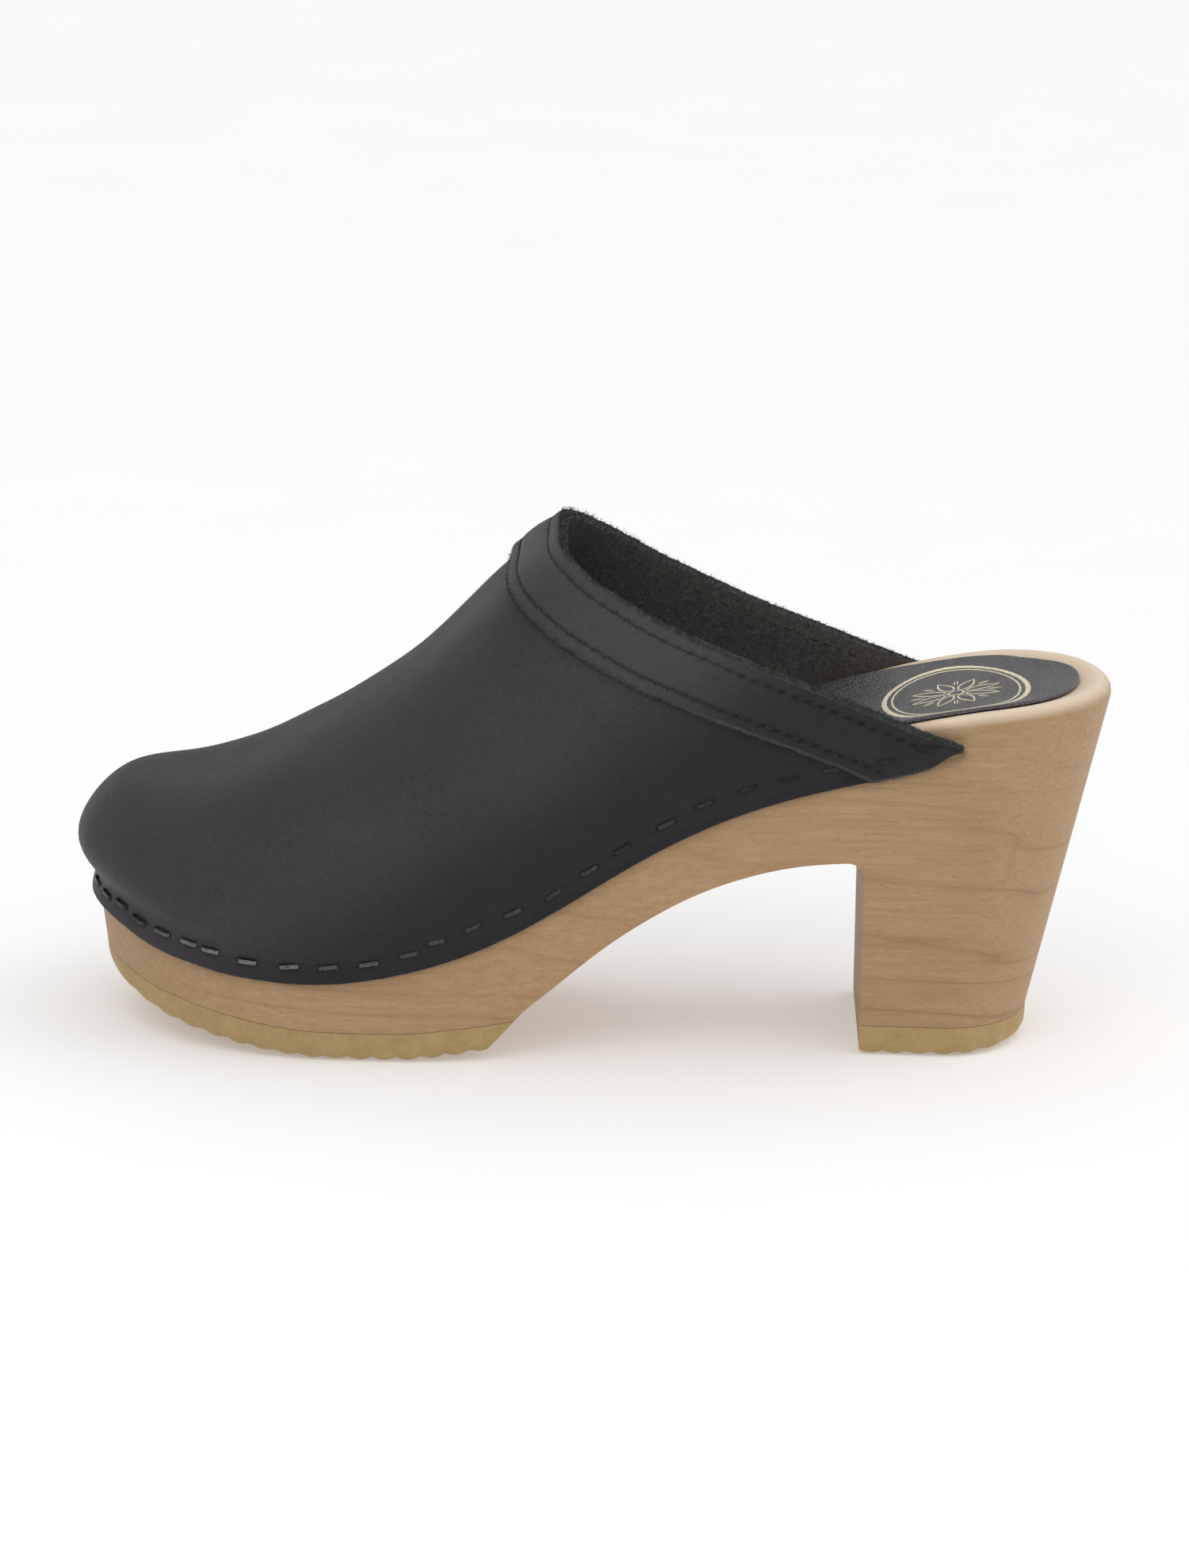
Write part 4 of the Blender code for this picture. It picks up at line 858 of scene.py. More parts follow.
def wood_piece():
    shell = Shell()
    col_x = columns(46, 120, 52, (ARCH_X, SHANK_X, 62.4, 63.2, 64.0, 64.7, 65.2, BREAST_X))
    breast = int(np.argmin(abs(col_x - BREAST_X)))
    shelf = float(under_z(BREAST_X))
    sides = {side: wood_side(col_x, side, breast, shelf) for side in (-1, 1)}
    for side, (rows, lower) in sides.items():
        shell.grid(np.stack(rows, 1), flip=side < 0)
        shell.grid(np.stack([row[breast:] for row in lower], 1), flip=side < 0)
    (near, near_low), (far, far_low) = sides[-1], sides[1]
    shell.grid(across(near[0], far[0], 41, top_z))
    shell.grid(across(near[-1][:breast + 1], far[-1][:breast + 1], 41), flip=True)
    shell.grid(across(near_low[-1][breast:], far_low[-1][breast:], 41), flip=True)
    shell.grid(across(np.stack([row[breast] for row in near_low]),
                      np.stack([row[breast] for row in far_low]), 41), flip=True)
    x, y, z = np.array(shell.verts).T
    # masks: a painted highlight along the crest of the rear rim, and a thin painted shadow line
    # just below the leather
    rim = np.clip(1 - np.abs(z - rim_z(x) + 0.5) / 2.6, 0, 1) * np.clip((x - 60) / 25, 0, 1)
    below = leather_edge_z(x) - z
    leather_edge_shadow = (np.exp(-np.clip(below, 0, None) / 0.7) * (z < leather_edge_z(x) + 0.2)
            * (x < 89) * (edge_dist(x, y) < 4))
    piece = build("wooden_base", shell.verts, shell.faces, [WOOD],
                  attrs={"rim": rim, "leather_edge_shadow": leather_edge_shadow}, smooth=50)
    bevel = piece.modifiers.new("softened_edges", 'BEVEL')
    bevel.width = 0.0006
    bevel.segments = 2
    bevel.limit_method = 'ANGLE'
    bevel.angle_limit = math.radians(50)
    bevel.harden_normals = False
    return piece


wood = wood_piece()


# ----------------------------------------------------------------------- rubber
WAVE_PITCH, WAVE_DEPTH = 5.9, 0.62
TAIL_X = -24.9                      # behind this the front rubber thins out to the arch


def ripple(x, y):
    """Transverse waves of the tread, cut upwards from the flat underside."""
    phase = 2 * math.pi * (x + 3.0 + 0.6 * np.sin(y / 23.0)) / WAVE_PITCH
    return WAVE_DEPTH * (0.5 - 0.5 * np.cos(phase)) ** 1.6


def jitter(noise, rim, side):
    """Small hand-cut unevenness of a rubber edge."""
    spots = np.stack([rim[:, 0] / 3.0, rim[:, 1] / 3.0, 0 * rim[:, 0] + side], 1)
    return 0.10 * noise(spots)


def front_rubber_side(col_x, side, tail):
    top = wall_foot(col_x, side, lambda x: wood_under_z(x) - 0.12)
    uneven = jitter(NOISE_A, top, side)
    middle = mid_line(top[:, 0])
    floor_z = tread_z(top[:, 0])
    waves = ripple(top[:, 0], top[:, 1])
    toe = np.where(col_x < TOE_X, ((TOE_X - col_x) / TOE_LENGTH) ** 2, 0)
    rows = [top]
    # share of the way down, inset
    for share, inset in ((0.10, -0.05), (0.45, -0.08), (0.72, 0.10), (0.89, 0.65)):
        z = top[:, 2] + (floor_z + waves - top[:, 2]) * share
        x, y, _ = wall(col_x, side, z).T
        y = y - side * (inset + uneven * (0.3 + share) + 0.35 * share * ripple(x, y))
        y = np.where(abs(y - middle) < 0.3, middle, y)
        rows.append(np.stack([x + inset * toe, y, z], 1))
    x, y, _ = wall(col_x, side, floor_z + 0.3).T
    y = y - side * np.minimum(1.9, abs(y - middle))
    x = x + 2.6 * toe
    rows.append(np.stack([x, y, tread_z(x) + ripple(x, y)], 1))
    share = (col_x[tail:] - col_x[tail]) / (ARCH_X - col_x[tail])
    tail_z = float(tread_z(col_x[tail]))
    top_tail = top[tail:, 2]
    low_z = tail_z + (top_tail - 0.5 - tail_z) * share
    for j, row in enumerate(rows[1:], 1):
        row[tail:, 2] = top_tail + (low_z - top_tail) * (j / (len(rows) - 1))
    for row in rows:
        row[0, 1] = float(mid_line(TIP_X)) * 0.955
    return rows


def front_rubber():
    shell = Shell()
    col_x = columns(64, 330, 4, (TAIL_X, ARCH_X))
    col_x = col_x[col_x <= ARCH_X + 1e-6]
    tail = int(np.argmin(abs(col_x - TAIL_X)))
    rows = {side: front_rubber_side(col_x, side, tail) for side in (-1, 1)}
    shell.walls(rows)
    shell.grid(across(rows[-1][0], rows[1][0], 33))
    under = across(rows[-1][-1], rows[1][-1], 33)
    x, y = under[1:tail, 1:-1, 0], under[1:tail, 1:-1, 1]
    under[1:tail, 1:-1, 2] = tread_z(x) + ripple(x, y)
    shell.grid(under, flip=True)
    shell.grid(across(np.stack([row[-1] for row in rows[-1]]),
                      np.stack([row[-1] for row in rows[1]]), 33))
    return build("front_rubber_sole", shell.verts, shell.faces, [RUBBER], smooth=50)


# height, inset and share of the tread waves for each row of the heel rubber
HEEL_ROWS = ((BASE_Z - 0.12, 0.0, 0), (6.3, -0.05, 0), (4.4, -0.12, 0), (2.8, -0.02, 0),
             (1.6, 0.25, 0), (0.7, 0.8, 0.5), (0.0, 1.9, 0.8))


def heel_rubber_side(col_x, side):
    rim = wall(col_x, side, BASE_Z + 0 * col_x)
    uneven = jitter(NOISE_B, rim, side)
    rim_x, rim_side = rim[:, 0], rim[:, 1]
    outward = unit(np.stack([rim_x - 0.5 * (BREAST_X + HEEL_END_X), rim_side], 1))
    rear_pull = outward[:, 0] * np.clip((rim_x - 85) / 20, 0, 1)
    rows = []
    for z, inset, waves in HEEL_ROWS:
        depth = (inset * (1 + 1.1 * np.clip((rim_x - 88) / 14, 0, 1) * (inset > 0))
                 + uneven * (z < 6.5))
        x = (rim_x - rear_pull * depth
             - np.clip((rim_x - 92) / 14, 0, 1) * (BASE_Z - z) * 0.06)
        # no point crosses the middle, y = -0.54
        y = rim_side - side * np.minimum(np.abs(outward[:, 1]) * depth, abs(rim_side + 0.54))
        rows.append(np.stack([x, y, z + ripple(x, y) * waves], 1))
    return rows


def heel_rubber():
    shell = Shell()
    col_x = columns(4, 150, 46, (BREAST_X,))
    col_x = col_x[col_x >= BREAST_X - 1e-6]
    rows = {side: heel_rubber_side(col_x, side) for side in (-1, 1)}
    join_ends(rows, (-1,))
    shell.walls(rows)
    shell.grid(across(rows[-1][0], rows[1][0], 33))
    under = across(rows[-1][-1], rows[1][-1], 33)
    under[1:-1, 1:-1, 2] = ripple(under[1:-1, 1:-1, 0], under[1:-1, 1:-1, 1]) * 0.8
    shell.grid(under, flip=True)
    shell.grid(across(np.stack([row[0] for row in rows[-1]]),
                      np.stack([row[0] for row in rows[1]]), 33), flip=True)
    return build("heel_rubber_piece", shell.verts, shell.faces, [RUBBER], smooth=50)


front_sole, heel_sole = front_rubber(), heel_rubber()


# --------------------------------------------------------------- upper: base grid
def base_grid():
    """Fine grid of the outer face: rows climb from the lower edge, columns go round."""
    coarse = 1
    rise = np.concatenate([np.linspace(0, 0.14, 15), np.linspace(0.14, 1, 46)[1:]])
    along = np.linspace(-1, 1, 240 // coarse + 1)
    points = upper_points(*np.meshgrid(rise, along, indexing='ij'))
    # smooth any kink where the ribs change over, along the columns only
    for _ in range(3):
        points[1:-1, 1:-1] = (0.5 * points[1:-1, 1:-1]
                              + 0.25 * (points[1:-1, :-2] + points[1:-1, 2:]))
    points = smooth_curve(rise, points)(np.linspace(0, 1, 301))
    fine = np.linspace(-1, 1, 720 // coarse + 1)
    return fine, np.swapaxes(smooth_curve(along, np.swapaxes(points, 0, 1))(fine), 0, 1)


def base_normals():
    normals = unit(np.cross(np.gradient(BASE, axis=0), np.gradient(BASE, axis=1)))
    if np.mean(np.sum(normals * (BASE - np.array([0, 0, 20.0])), axis=-1)) < 0:
        normals = -normals
    normals[:6, :, 2] = 0.0
    return unit(normals)


ALONG, BASE = base_grid()
BASE_N = base_normals()
ARC = arc_length(BASE)              # height above the lower edge, along the leather
LENGTH = ARC[-1]


def sample(arcs):
    """Points and normals at arc heights arcs[i, j] in columns j."""
    points, normals = np.zeros((*arcs.shape, 3)), np.zeros((*arcs.shape, 3))
    for j in range(arcs.shape[1]):
        row = np.interp(arcs[:, j], ARC[:, j], np.arange(len(ARC)))
        i = np.clip(row.astype(int), 0, len(ARC) - 2)
        share = (row - i)[:, None]
        for result, source in ((points, BASE), (normals, BASE_N)):
            result[:, j] = source[i, j] * (1 - share) + source[i + 1, j] * share
    return points, unit(normals)


# ------------------------------------------------------------------ staple places
def staple_frames():
    """(side, number, base point, along, out, up) of every staple."""
    frames = []
    for side, outer in OUTER_LINES.items():
        by_x = np.interp(STAPLE_X[side], outer.points[:, 0], outer.run)
        for i, run in enumerate(np.concatenate([STAPLE_TOE[side], by_x])):
            before, after, here = outer.at(run - 1.5), outer.at(run + 1.5), outer.at(run)
            climb = leather_edge_z(after[0]) - leather_edge_z(before[0])
            along = unit(np.append(after - before, climb))
            out = unit(np.array([along[1] * -side, along[0] * side, 0.0]))
            sideways = abs(out[1]) > 0.3
            if (sideways and out[1] * side < 0) or (not sideways and out[0] > 0):
                out = -out
            up = np.cross(out, along)
            if up[2] < 0:
                up = -up
            over = PROUD if here[0] > BAND_STAPLE_X else 0.0
            base = np.append(here, leather_edge_z(here[0]) + staple_z(here[0])) + out * over
            # each staple sits a little off and a little askew
            rng = np.random.default_rng(100 * (side + 2) + i)
            tilt = rng.normal(0, 0.055)
            base = base + up * rng.normal(0, 0.22) + along * rng.normal(0, 0.25)
            turned = unit(along * math.cos(tilt) + up * math.sin(tilt))
            up = unit(up * math.cos(tilt) - along * math.sin(tilt))
            frames.append((side, i, base, turned, out, up))
    return frames


STAPLES = staple_frames()


def bell(distance, width):
    return np.exp(-(distance / width) ** 2)


def beyond(distance, flat):
    return np.clip(distance - flat, 0, None)


def dimple(points):
    """Inward push round each staple and the painted shade in its pit."""
    push, pit_shade = np.zeros(points.shape[:-1]), np.zeros(points.shape[:-1])
    for _, _, base, along, out, up in STAPLES:
        close = np.all(np.abs(points - base) < (9, 9, 7), axis=-1)
        if not close.any():
            continue
        offset = points[close] - base
        side_way, height = np.abs(offset @ along), offset @ up
        same_face = np.abs(offset @ out) < 3.2
        wide = bell(beyond(side_way, 1.8), 1.6) * bell(height, 1.5)
        tight = (bell(beyond(side_way, 2.3), 0.40)
                 * bell(beyond(np.abs(height - 0.16), 0.45), 0.34))
        push[close] += same_face * (0.28 * wide + 0.16 * tight)
        pit_shade[close] = np.maximum(pit_shade[close], same_face * tight * 0.30)
    return push, pit_shade


# -------------------------------------------------------------- leather sheets
LIP_R = 0.5                         # rounding of a sheet's borders
FUZZ_OUT, FUZZ_IN = 0.10, 0.18      # roughness of the borders on each face


def flare(points, from_top):
    """The mouth edge leans outwards, more so towards the rear."""
    lean = 0.25 + 1.15 * np.clip((points[..., 0] + 5) / 70, 0, 1)
    return lean * np.clip(1 - from_top / 6.5, 0, 1) ** 1.7


def sheet_faces(rows, cols, half, row_mat):
    """Faces of a sheet given as a closed loop of rows, with their material indices."""
    i, j = (grid.ravel() for grid in np.meshgrid(np.arange(rows), np.arange(cols - 1),
                                                 indexing='ij'))
    k = (i + 1) % rows
    faces = list(np.stack([i * cols + j, k * cols + j, k * cols + j + 1, i * cols + j + 1], 1))
    index = list(np.repeat(row_mat, cols - 1))
    # ends: close across the thickness
    for j in (0, cols - 1):
        outer = [(1 + i) * cols + j for i in range(half)]
        inner = [(rows - 1 - i) * cols + j for i in range(half)]
        closing = [[outer[i], outer[i + 1], inner[i + 1], inner[i]] for i in range(half - 1)]
        closing += [[j, outer[0], inner[0]], [outer[-1], (half + 1) * cols + j, inner[-1]]]
        faces += closing if j else [face[::-1] for face in closing]
        index += [1] * len(closing)
    return faces, index


def sheet(name, arcs, edge_reach, offsets, mats, shape, bevel=None, holes=None):
    """Leather sheet between two offsets (inner, outer) of the base surface.

    arcs[i, j]: heights along the leather; mats = (outer, cut edge, inner). edge_reach is how
    far the cut edge's material runs over the outer face at the lower and upper borders.
    bevel = (width, drop) pares the lower border of the outer face.
    """
    points, normals = sample(arcs)
    half, cols = arcs.shape
    from_low, from_top = arcs - arcs[:1], arcs[-1:] - arcs
    run = arc_length(points[half // 2])
    border = np.minimum(np.minimum(from_low, from_top), np.minimum(run, run[-1] - run)[None])
    round_off = (1 - np.clip(border / LIP_R, 0, 1)) ** 2
    lip = 1 - 0.42 * (1 - np.sqrt(np.clip(1 - round_off, 0, 1)))
    inside, outside = offsets
    middle, thick = 0.5 * (inside + outside), 0.5 * (outside - inside)
    # push of the staple dimples, and the painted shade in their pits
    push, pit_shade = dimple(points + normals * outside if inside > 0 else points)
    extra = shape(points, from_low, from_top)
    lean = flare(points, from_top)
    ragged = (0.5 * NOISE_A(points / 0.9) + 0.35 * NOISE_B(points / 0.45)
              + 0.3 * NOISE_C(points / 2.3)) * np.exp(-border / 0.7)
    out = middle + thick * lip - push + extra + FUZZ_OUT * ragged
    if bevel:
        pare = np.clip(1 - from_low / bevel[0], 0, 1)
        out = out - bevel[1] * pare ** 1.25 + 0.12 * pare * NOISE_B(points / 0.7)
        pare = np.clip(1 - from_top / 1.5, 0, 1)
        out = out - 0.75 * pare ** 1.4 + 0.10 * pare * NOISE_C(points / 0.6)
    back = middle - thick * lip + (extra - lean) * 0.5 + lean + FUZZ_IN * ragged
    back = np.minimum(back, out - 0.35)
    outer, inner = points + normals * out[..., None], points + normals * back[..., None]
    # borders wander a little: push lip points along the sheet
    climb = unit(np.gradient(points, axis=0))
    near_top = np.exp(-from_top / 0.5)
    slide = ((near_top - np.exp(-from_low / 0.5))
             * (0.10 * NOISE_C(points / 3.1) + 0.13 * NOISE_A(points / 0.6)))
    outer += climb * slide[..., None]
    inner += climb * (slide * 1.3 + 0.15 * near_top * NOISE_B(points / 0.8))[..., None]
    low_lip = (0.5 * (outer[0] + inner[0]) - climb[0] * 0.16
               + 0.14 * NOISE_B(points[0] / 0.6)[:, None] * normals[0])
    top_lip = (0.5 * (outer[-1] + inner[-1])
               + climb[-1] * (0.22 + 0.25 * np.abs(NOISE_A(points[-1] / 0.55)))[:, None])
    # loop of rows: lower lip, outer face up, upper lip, inner face down
    loop = np.concatenate([low_lip[None], outer, top_lip[None], inner[::-1]], 0)
    rows = len(loop)
    row_mat = np.full(rows, 2)
    row_mat[1:half] = ((from_low.mean(1)[1:] <= edge_reach[0])
                       | (from_top.mean(1)[:-1] <= edge_reach[1]))
    row_mat[[0, half, half + 1, rows - 1]] = 1
    faces, index = sheet_faces(rows, cols, half, row_mat)
    # the needle holes add their painted shade
    if holes is not None:
        pit_shade = np.maximum(pit_shade, holes(points + normals * 1.2, from_top))
    zero = np.zeros((1, cols))
    attrs = {"edge": np.concatenate([zero, border, zero, border[::-1]], 0).ravel(),
             "pit_shade": np.concatenate([zero, pit_shade, zero, 0 * pit_shade], 0).ravel()}
    return build(name, loop.reshape(-1, 3), faces, mats, index=index, attrs=attrs, smooth=60)


def rows_for(length, low, high, step):
    """Arc heights for one sheet: fine rows near both borders, even rows between, squeezed
    where the sheet is short."""
    squeeze = np.minimum(1.0, length / (low[-1] + high[-1] + 6.0))
    bottom = np.array(low)[:, None] * squeeze
    top = length - np.array(high)[::-1][:, None] * squeeze
    count = max(4, int((length.max() - low[-1] - high[-1]) / step))
    share = np.linspace(0, 1, count + 1)[1:-1][:, None]
    return np.concatenate([bottom, bottom[-1:] * (1 - share) + top[:1] * share, top], 0)


def upper_shape(points, from_low, from_top):
    """Relief of the upper: a tucked line along the staples, a roll above it, soft waves."""
    front = np.clip((-30 - points[..., 0]) / 60, 0, 1)
    tuck = -(0.35 + 0.30 * front) * bell(from_low - 4.4, 2.6)
    roll = (0.25 + 0.45 * front) * bell(from_low - 12.5, 4.5)
    edge = 0.10 * np.exp(-from_low / 2.0)
    soft = 0.35 * NOISE_A(points / 26.0) + 0.18 * NOISE_B(points / 11.0)
    soft = soft * np.clip(from_low / 12, 0, 1) * np.clip(from_top / 10, 0, 1)
    return tuck + roll + edge + soft * 0.8 + flare(points, from_top)


# distances of the fine rows from the sheets' lower and upper borders
UPPER_LOW = [0, .12, .3, .55, .9, 1.3, 1.75, 2.2, 2.6, 3.0, 3.4, 3.8, 4.2, 4.6, 5.0, 5.4,
             5.9, 6.5, 7.2, 8, 9, 10.2, 11.6, 13.2]
UPPER_HIGH = [0, .12, .3, .55, .9, 1.4, 2.1, 3.0, 4.2, 5.8]
BAND_LOW = [0, .14, .32, .55, .85, 1.2, 1.6, 2.0, 2.4, 2.8]

# the rear tips are trimmed to a point: the lower border climbs to meet the mouth edge
MOUTH_RUN = arc_length(BASE[-1])
TIP_DIST = np.minimum(MOUTH_RUN, MOUTH_RUN[-1] - MOUTH_RUN)
TRIM = np.clip(LENGTH - 0.9, 0, None) * np.clip(1 - TIP_DIST / 4.2, 0, 1) ** 1.25
upper = sheet("leather_upper_shell",
              TRIM[None] + rows_for(LENGTH - TRIM, UPPER_LOW, UPPER_HIGH, 1.1),
              edge_reach=(0.12, 0.55), offsets=(-LEATHER, 0.0), mats=[OUTER, EDGE, SUEDE],
              shape=upper_shape)

# ------------------------------------------------------------------ seams
# The band is narrower at the front. Its two seams are counted 0 upper, 1 lower.
BAND_FULL = (BAND_WIDTH_FRONT
             + (BAND_WIDTH - BAND_WIDTH_FRONT) * np.clip(np.abs(ALONG) / 0.18, 0, 1))
BAND_REAL = np.minimum(BAND_FULL, LENGTH - TRIM)
SEAM_DEPTH = (ROW_IN + 0 * BAND_FULL, BAND_FULL - ROW_IN)      # below the mouth edge
SEAM_END = (0.955, float(np.abs(ALONG)[LENGTH - SEAM_DEPTH[1] > 3.2].max()))
PITCH, STITCH_GAP = 3.45, 0.84


def stitches(name, seam, offset, end, facing):
    """Separate stitches in one mesh, short twisted strands whose ends dive into their holes.
    facing is 1 for the outer face and -1 for the inner. Returns the holes as well."""
    chosen = np.abs(ALONG) <= end
    points, normals = sample((LENGTH - SEAM_DEPTH[seam])[None])
    normals = normals[0][chosen]
    curve = points[0][chosen] + normals * offset
    run = arc_length(curve)
    count = int(run[-1] / PITCH)
    rings, around = 11, 8
    rng = np.random.default_rng(40 + seam * 2 + (facing > 0))
    angles = 2 * math.pi * np.arange(around) / around
    share = np.linspace(0, 1, rings)
    lift = 0.16 * np.sin(math.pi * share) ** 0.6 - 0.5 * (np.abs(2 * share - 1) ** 6)
    radius = (0.215 * (0.85 + 0.15 * np.sin(math.pi * share)))[:, None, None]
    verts, faces, twist, holes = [], [], [], []
    for i in range(count):
        start = run[-1] * 0.5 + (i - count / 2) * PITCH + STITCH_GAP / 2
        at = start + (PITCH - STITCH_GAP) * share
        path = read_line(at, run, curve)
        out = unit(read_line(at, run, normals)) * facing
        across_way = np.cross(unit(np.gradient(path, axis=0)), out)
        slant = (share - 0.5) * 0.24 + rng.normal(0, 0.03)
        path = path + out * lift[:, None] + across_way * slant[:, None]
        faces += tube_faces(len(verts), rings, around, flip_start=False)
        ring = (np.cos(angles)[:, None] * out[:, None] * 0.85
                + np.sin(angles)[:, None] * across_way[:, None])
        verts.extend((path[:, None] + radius * ring).reshape(-1, 3))
        twist.extend((angles + at[:, None] * 5.2).ravel())
        holes += [path[0], path[-1]]
    mat = THREAD if facing > 0 else INNER_THREAD
    piece = build(name, verts, faces, [mat], attrs={"twist": twist}, smooth=70)
    return piece, np.array(holes)


SUNK_OUT, SUNK_IN = PROUD - 0.28, -LEATHER + 0.36
upper_seam, upper_holes = stitches("upper_seam_stitches", 0, SUNK_OUT, SEAM_END[0], 1)
lower_seam, lower_holes = stitches("lower_seam_stitches", 1, SUNK_OUT, SEAM_END[1], 1)
upper_inner, _ = stitches("upper_seam_inner_stitches", 0, SUNK_IN, 0.84, -1)
lower_inner, _ = stitches("lower_seam_inner_stitches", 1, SUNK_IN, 0.70, -1)


# ------------------------------------------------------------------ collar band
def band_shape(points, from_low, from_top):
    """Channels pressed by the two seams and a slight crown between them."""
    relief = 0
    for depth, end in zip(SEAM_DEPTH, SEAM_END):
        stitched = np.clip((end + 0.01 - np.abs(ALONG)) / 0.02, 0, 1)[None]
        relief = relief - 0.30 * bell(from_top - depth, 0.7) * stitched
    share = np.clip((from_top - ROW_IN) / (BAND_FULL[None] - 2 * ROW_IN), 0, 1)
    return (relief + 0.30 * np.sin(share * math.pi)
            + 0.10 * NOISE_A(points / 9.0) * np.clip(from_top / 4, 0, 1)
            + flare(points, from_top))


def needle_hole_shade(points, from_top):
    """Painted shade in the needle holes between stitches, only worked out beside the seams."""
    pit_shades = np.zeros(points.shape[:2])
    for depth, end, holes in zip(SEAM_DEPTH, SEAM_END, (upper_holes, lower_holes)):
        chosen = (np.abs(from_top - depth) < 1.3) & (np.abs(ALONG)[None] < end)
        spots = points[chosen]
        best = np.full(len(spots), 99.0)
        for i in range(0, len(spots), 4000):
            gaps = np.linalg.norm(spots[i:i + 4000, None, :] - holes[None], axis=2)
            best[i:i + 4000] = gaps.min(1)
        pit_shades[chosen] = np.maximum(pit_shades[chosen], 0.9 * bell(best, 0.40))
    return pit_shades


PARE_WIDTH, PARE_DROP = 1.35, 1.05
band = sheet("collar_band_strip",
             (LENGTH - BAND_REAL)[None]
             + rows_for(BAND_REAL, BAND_LOW, UPPER_HIGH[:7], 0.5),
             edge_reach=(PARE_WIDTH * 0.92, 1.25), offsets=(GAP * 0.6, PROUD),
             mats=[BAND, EDGE, SUEDE], shape=band_shape,
             bevel=(PARE_WIDTH, PARE_DROP), holes=needle_hole_shade)

# -------------------------------------------------------------------- staples
# tarnish of each side's staples: x stations, then amounts
TARNISH = {
    -1: ([-122, -112, -104, -98, -83, -73, -63, -54, -44, -37, -28, 0, 90],
         [0.98, 0.92, 0.55, 0.12, 0.08, 0.3, 0.55, 0.6, 0.85, 0.55, 0.85, 0.9, 1.0]),
    1: ([-121, -90, -40, 0, 90], [0.6, 0.2, 0.4, 0.7, 1.0])}


def wire_section():
    """Cross-section of the wire (across, out) with rounded corners."""
    turn = np.linspace(0, 2 * math.pi, 13)[:-1]
    wave = np.stack([np.cos(turn), np.sin(turn)], 1)
    return np.array([0.9 * STAPLE_D / 2, 0.26]) * np.sign(wave) * np.abs(wave) ** 0.45


def wire_path():
    """(along, out, turn) down one leg: leg, rounded corner, crown, corner, leg."""
    half, leg, radius = STAPLE_W / 2, STAPLE_W / 2 - 0.3, 0.55
    start = [(-leg, -2.4, 0.0), (-leg, -radius - 0.2, 0.0)]
    start += [(-leg + radius * (1 - math.cos(turn)), -radius + radius * math.sin(turn), turn)
              for turn in np.linspace(0, QUARTER, 5)]
    crown = [(share * half * 1.2, 0.04 * (1 - (share / 0.6) ** 2), QUARTER)
             for share in np.linspace(-0.6, 0.6, 5)]
    end = [(-along, out, math.pi - turn) for along, out, turn in reversed(start)]
    return np.array(start + crown + end)


def staple_piece(name, chosen_side):
    """Flat wire crowns with softened edges and the first stretch of their legs."""
    verts, faces, tarnish = [], [], []
    section, path = wire_section(), wire_path()
    turn = path[:, 2:]
    for side, i, base, along, out, up in STAPLES:
        if side != chosen_side:
            continue
        rng = np.random.default_rng(900 * (side + 2) + i)
        at_toe = float(np.clip((-104 - base[0]) / 12, 0, 1))
        sunk = base - out * (0.52 + 0.25 * at_toe + abs(rng.normal(0, 0.06)))
        dark = np.interp(base[0], *TARNISH[side]) + rng.normal(0, 0.07)
        faces += tube_faces(len(verts), len(path), len(section), flip_start=True)
        centre = sunk + along * path[:, :1] + out * (path[:, 1:2] + 0.30)
        face_way = -along * np.cos(turn) + out * np.sin(turn)
        verts.extend((centre[:, None] + up * section[:, :1]
                      + face_way[:, None] * section[:, 1:]).reshape(-1, 3))
        tarnish += [float(np.clip(dark, 0, 1))] * (len(path) * len(section))
    return build(name, verts, faces, [STEEL], attrs={"tarnish": tarnish}, smooth=45)


near_staples = staple_piece("staples_near_side", -1)
far_staples = staple_piece("staples_far_side", 1)

# ------------------------------------------------------------ sock lining
SOCK_T = 1.2
SOCK_EDGE = 0.95                    # depth of its side edge
# inset from the rim at x stations, per side
SOCK_X = (60.0, 76.0, 90.0, 100.0, 108.0, 116.0, 124.0)
SOCK_INSET = {-1: (3.0, 3.0, 3.9, 5.4, 6.3, 6.8, 8.2), 1: (3.0, 5.6, 6.8, 8.0, 9.2, 9.4, 8.2)}
# further inset and height of the rows that round its edge over
SOCK_ROWS = ((0.0, -SOCK_EDGE), (0.02, -0.4), (0.12, -0.16), (0.35, -0.04), (0.8, 0.0))


def sock_height(x, y):
    """Top of the sock over the dished footbed, with faint waves."""
    points = np.stack([x, y, 0 * x], -1)
    return (top_z(x, y) + SOCK_T + 0.06 + 0.10 * NOISE_B(points / 21.0)
            + 0.04 * NOISE_A(points / 6.0))


def sock_piece():
    shell = Shell()
    col_x = columns(60, 150, 60)
    rows = {-1: [], 1: []}
    for side in (-1, 1):
        for inset, lift in SOCK_ROWS:
            x, y = inset_outline(
                col_x, side, np.interp(col_x, SOCK_X, SOCK_INSET[side]) + inset).T
            wobble = 0.10 * NOISE_C(np.stack([x / 4, y / 4, 0 * x], 1))
            y = y + wobble * side * (np.abs(y) > 2)
            rows[side].append(np.stack([x, y, sock_height(x, y) + lift], 1))
    join_ends(rows, (0, -1))
    shell.walls(rows)
    shell.grid(across(rows[-1][-1], rows[1][-1], 61, sock_height), flip=True)
    shell.grid(across(rows[-1][0], rows[1][0], 61, lambda x, y: sock_height(x, y) - SOCK_EDGE))
    return build("sock_lining", shell.verts, shell.faces, [SOCK], smooth=60)


sock = sock_piece()

# ------------------------------------------------------------ gilding on the sock
FOIL_X, FOIL_Y = 87.6, -3.6
FOIL_TILT = math.radians(9.0)
FOIL_A, FOIL_B = 17.8, 24.0         # half sizes of the oval, towards the toe and across


